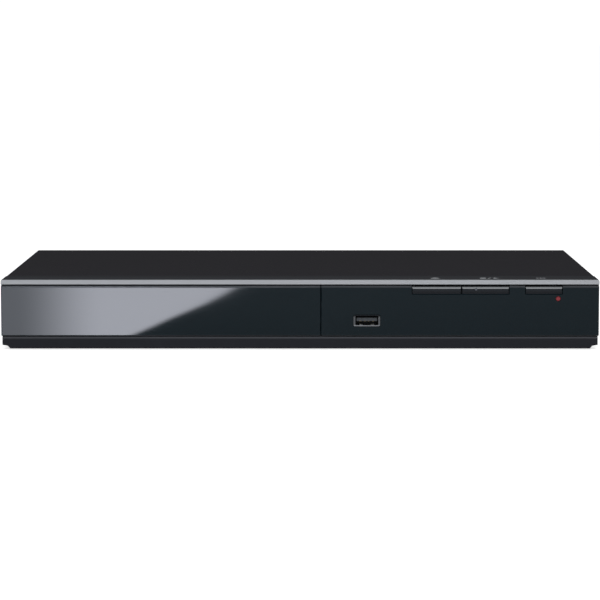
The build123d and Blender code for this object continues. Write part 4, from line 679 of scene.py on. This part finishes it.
# The upper and lower rims are rougher, and their paler colour is a painted highlight.
matt_rim_with_painted_highlight = gloss.along("z").rise(panel_high.z - 0.00120, panel_high.z - 0.00095)
matt_rim_with_painted_highlight += 1.0 - gloss.along("z").rise(panel_low.z + 0.0003, panel_low.z + 0.0005)
acrylic = gloss.tint(dust * 0.25 + smear * 0.1, (0.0030, 0.0090, 0.0130), (0.024, 0.032, 0.039))
gloss.colour(gloss.tint(matt_rim_with_painted_highlight * (0.85 + wipes * 0.3), acrylic, (0.040, 0.043, 0.049)))
gloss.vary("Roughness", 0.045 + smear * 0.035 + wipes * 0.02 + matt_rim_with_painted_highlight * 0.5)
gloss.relief(gloss.cloud(38.0, 1.0) * 0.85 + wipes * 0.15, 0.000012, 0.5)
dress(gloss, "front_panel", "tray_lid")

# The strip along the top edge is black plastic, snapped over the frame, with a stamped foil of satin silver
# on its face. The foil's grain runs along the strip, and it ends a hair below the strip's upper edge.
silver = Finish("satin_silver", Specular_IOR_Level=0.4)
foil = 1.0 - (silver.along("z") - strip_high.z).rise(-0.00045, -0.00030)
brushed = silver.cloud(2600.0, 3.0, silver.stretched(0.012, 1.0, 1.0))
cloudy = silver.cloud(12.0, 3.0)
satin = silver.tint(brushed * 0.6 + cloudy * 0.4, (0.45, 0.458, 0.482), (0.565, 0.574, 0.602))
silver.colour(silver.tint(foil, (0.015, 0.016, 0.019), satin))
silver.vary("Metallic", foil * 0.55)
silver.vary("Roughness", 0.36 + brushed * 0.14)
silver.relief(brushed, 0.00001)
dress(silver, "trim_strip")

# The cover is one sheet of steel folded over the top and sides, sprayed with black paint that dries with a
# fine orange-peel skin of grains about half a millimetre wide. It hardly shines, even seen along its top.
black_paint = Finish("cover_paint", Specular_IOR_Level=0.14)
grains = black_paint.cells(1900.0)
peel = black_paint.cloud(520.0, 3.0)
worn = black_paint.cloud(14.0, 5.0, rough=0.7).rise(0.55, 0.85)
black_paint.colour(
    black_paint.tint(grains * 0.6 + worn * 0.3, (0.0030, 0.0024, 0.0052), (0.0105, 0.0092, 0.0158))
)
black_paint.vary("Roughness", 0.34 + peel * 0.14 - worn * 0.05)
black_paint.relief(grains * 0.55 + peel * 0.45, 0.00012, 0.8)
dress(black_paint, "top_cover")

# The studio: a pale floor, and a soft grey room that is brighter overhead and has a dark low wall behind the
# player, so that the black top stays black from the front. The camera sees the room and the floor white.
room_light = 0.42
overhead_light = 0.56
floor_glow = 0.72
floor_reach = 40.0
world = bpy.data.worlds.new("studio_room")
world.use_nodes = True
room = Nodes(world.node_tree)
heading = room.node("TexCoord", {}, {}, "Generated")
behind = room.node("SeparateXYZ", {}, {0: heading}, 1)
rising = room.node("SeparateXYZ", {}, {0: heading}, 2)
dark_wall = behind.rise(0.55, 0.85) * (1.0 - rising.rise(0.22, 0.5))
glow = (room_light + rising.rise(0.3, 0.95) * (overhead_light - room_light)) * (1.0 - dark_wall * 0.97)
soft = room.node("Background", {}, {"Strength": glow})
white = room.node("Background", {}, {"Color": (1.0, 1.0, 1.0, 1.0), "Strength": 1.05})
seen_straight = room.node("LightPath", {}, {}, "Is Camera Ray")
shown = room.node("MixShader", {}, {0: seen_straight, 1: soft, 2: white})
room.tree.links.new(shown.socket, room.tree.nodes["World Output"].inputs["Surface"])
bpy.context.scene.world = world

floor_mesh = bpy.data.meshes.new("studio_floor")
floor_corners = [(x * floor_reach, y * floor_reach, 0) for x, y in ((-1, -1), (1, -1), (1, 1), (-1, 1))]
floor_mesh.from_pydata(floor_corners, [], [(0, 1, 2, 3)])
floor = bpy.data.objects.new("studio_floor", floor_mesh)
bpy.context.scene.collection.objects.link(floor)
pale = Finish("pale_floor", Roughness=0.9, Specular_IOR_Level=0.05)
mottled = pale.cloud(3.0, 2.0)
pale.colour(pale.tint(mottled, (0.74, 0.74, 0.74), (0.78, 0.78, 0.78)))
lifted = pale.node("Emission", {}, {"Strength": floor_glow})
matt = Level(pale, pale.shader.outputs[0])
lit = pale.node("AddShader", {}, {0: matt, 1: lifted})
straight = pale.node("LightPath", {}, {}, "Is Camera Ray")
seen_floor = pale.node("MixShader", {}, {0: straight, 1: matt, 2: lit})
pale.tree.links.new(seen_floor.socket, pale.tree.nodes["Material Output"].inputs["Surface"])
floor_mesh.materials.append(pale.material)

# A soft box hangs above and before the front. The bevels of the keys, the skirt's shoulder and the top of the
# front panels mirror it.
soft_box = bpy.data.lights.new("soft_box", "AREA")
soft_box.shape = "RECTANGLE"
soft_box.size = 0.9
soft_box.size_y = 0.4
soft_box.energy = 4.5
soft_box.color = (0.93, 0.97, 1.0)
soft_lamp = bpy.data.objects.new("soft_box", soft_box)
soft_lamp.location = (0.0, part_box("tray_lid")[0].y - 0.46, 0.66)
soft_lamp.rotation_euler = (radians(35), 0.0, 0.0)
bpy.context.scene.collection.objects.link(soft_lamp)

# The glossy front mirrors a card of light that lies low before it and lights nothing else. The card is the
# image that the front throws on the floor: a grid of points x, z on the front, each carried down its mirror
# line. It is bright at the left, dimmer at the far left, and ends at a soft slanting edge.
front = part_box("tray_lid")[0].y
eye_far = 1.4850
eye_height = 0.1724
eye_side = 0.0040
card_level = 0.0012
crown_height = 0.0258
glass_turn = 1.25
across, up = np.meshgrid(np.linspace(-0.172, 0.02, 97), np.linspace(0.006, 0.0365, 41))
lean = glass_turn * (up - crown_height)
fall = (eye_height - up) / eye_far - 2.0 * lean
reach = (up - card_level) / fall
card_x = across + (across - eye_side) * reach / eye_far
card_points = np.stack([card_x, front - reach, np.full_like(up, card_level)], -1)
rows, columns = across.shape
index = np.arange(rows * columns).reshape(rows, columns)
card_faces = np.stack([index[:-1, :-1], index[:-1, 1:], index[1:, 1:], index[1:, :-1]], -1).reshape(-1, 4)
card_mesh = bpy.data.meshes.new("gloss_card")
card_mesh.from_pydata(card_points.reshape(-1, 3).tolist(), [], card_faces.tolist())
seen_at = card_mesh.uv_layers.new(name="seen_at")
seen_points = np.stack([across, up], -1).reshape(-1, 2)
seen_at.data.foreach_set("uv", seen_points[card_faces.reshape(-1)].reshape(-1))
card = bpy.data.objects.new("gloss_card", card_mesh)
bpy.context.scene.collection.objects.link(card)
card_light = Finish("gloss_card_light")
seen = card_light.node("TexCoord", {}, {}, "UV")
seen_x = card_light.node("SeparateXYZ", {}, {0: seen}, 0)
seen_z = card_light.node("SeparateXYZ", {}, {0: seen}, 1)
edge_x = seen_z * 2.375 - 0.1114
inside = (edge_x - seen_x).rise(-0.004, 0.004)
ramp = seen_x.rise(-0.156, -0.105)
card_power = 24.4
far_share = 0.279
share = inside * (ramp * (1.0 - far_share) + far_share)
beam = card_light.node("Emission", {}, {"Color": (0.88, 0.90, 1.0, 1.0), "Strength": card_power})
through = card_light.node("BsdfTransparent", {}, {})
both = card_light.node("AddShader", {}, {0: beam, 1: through})
dimmed = card_light.node("MixShader", {}, {0: share, 1: through, 2: both})
card_light.tree.links.new(dimmed.socket, card_light.tree.nodes["Material Output"].inputs["Surface"])
card_mesh.materials.append(card_light.material)
card.visible_camera = False
card.visible_diffuse = False
card.visible_shadow = False
mirrors = bpy.data.collections.new("glossy_front")
mirrors.objects.link(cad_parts["tray_lid"])
card.light_linking.receiver_collection = mirrors

# The camera stands almost 1.5 m in front of the player and 17 cm above the floor under it, and looks slightly
# down through a long lens. It is a little right of the middle, and its lens is shifted back by as much.
camera_data = bpy.data.cameras.new("front_camera")
camera_data.sensor_width = 36.0
camera_data.lens = 164.93
camera_data.shift_x = -eye_side / eye_far * camera_data.lens / camera_data.sensor_width
camera_data.clip_end = 50.0
camera = bpy.data.objects.new("front_camera", camera_data)
camera.location = (eye_side, front - eye_far, eye_height)
camera.rotation_euler = (radians(90 - 5.585), 0.0, 0.0)
bpy.context.scene.collection.objects.link(camera)
bpy.context.scene.camera = camera
bpy.context.scene.view_settings.view_transform = "Standard"
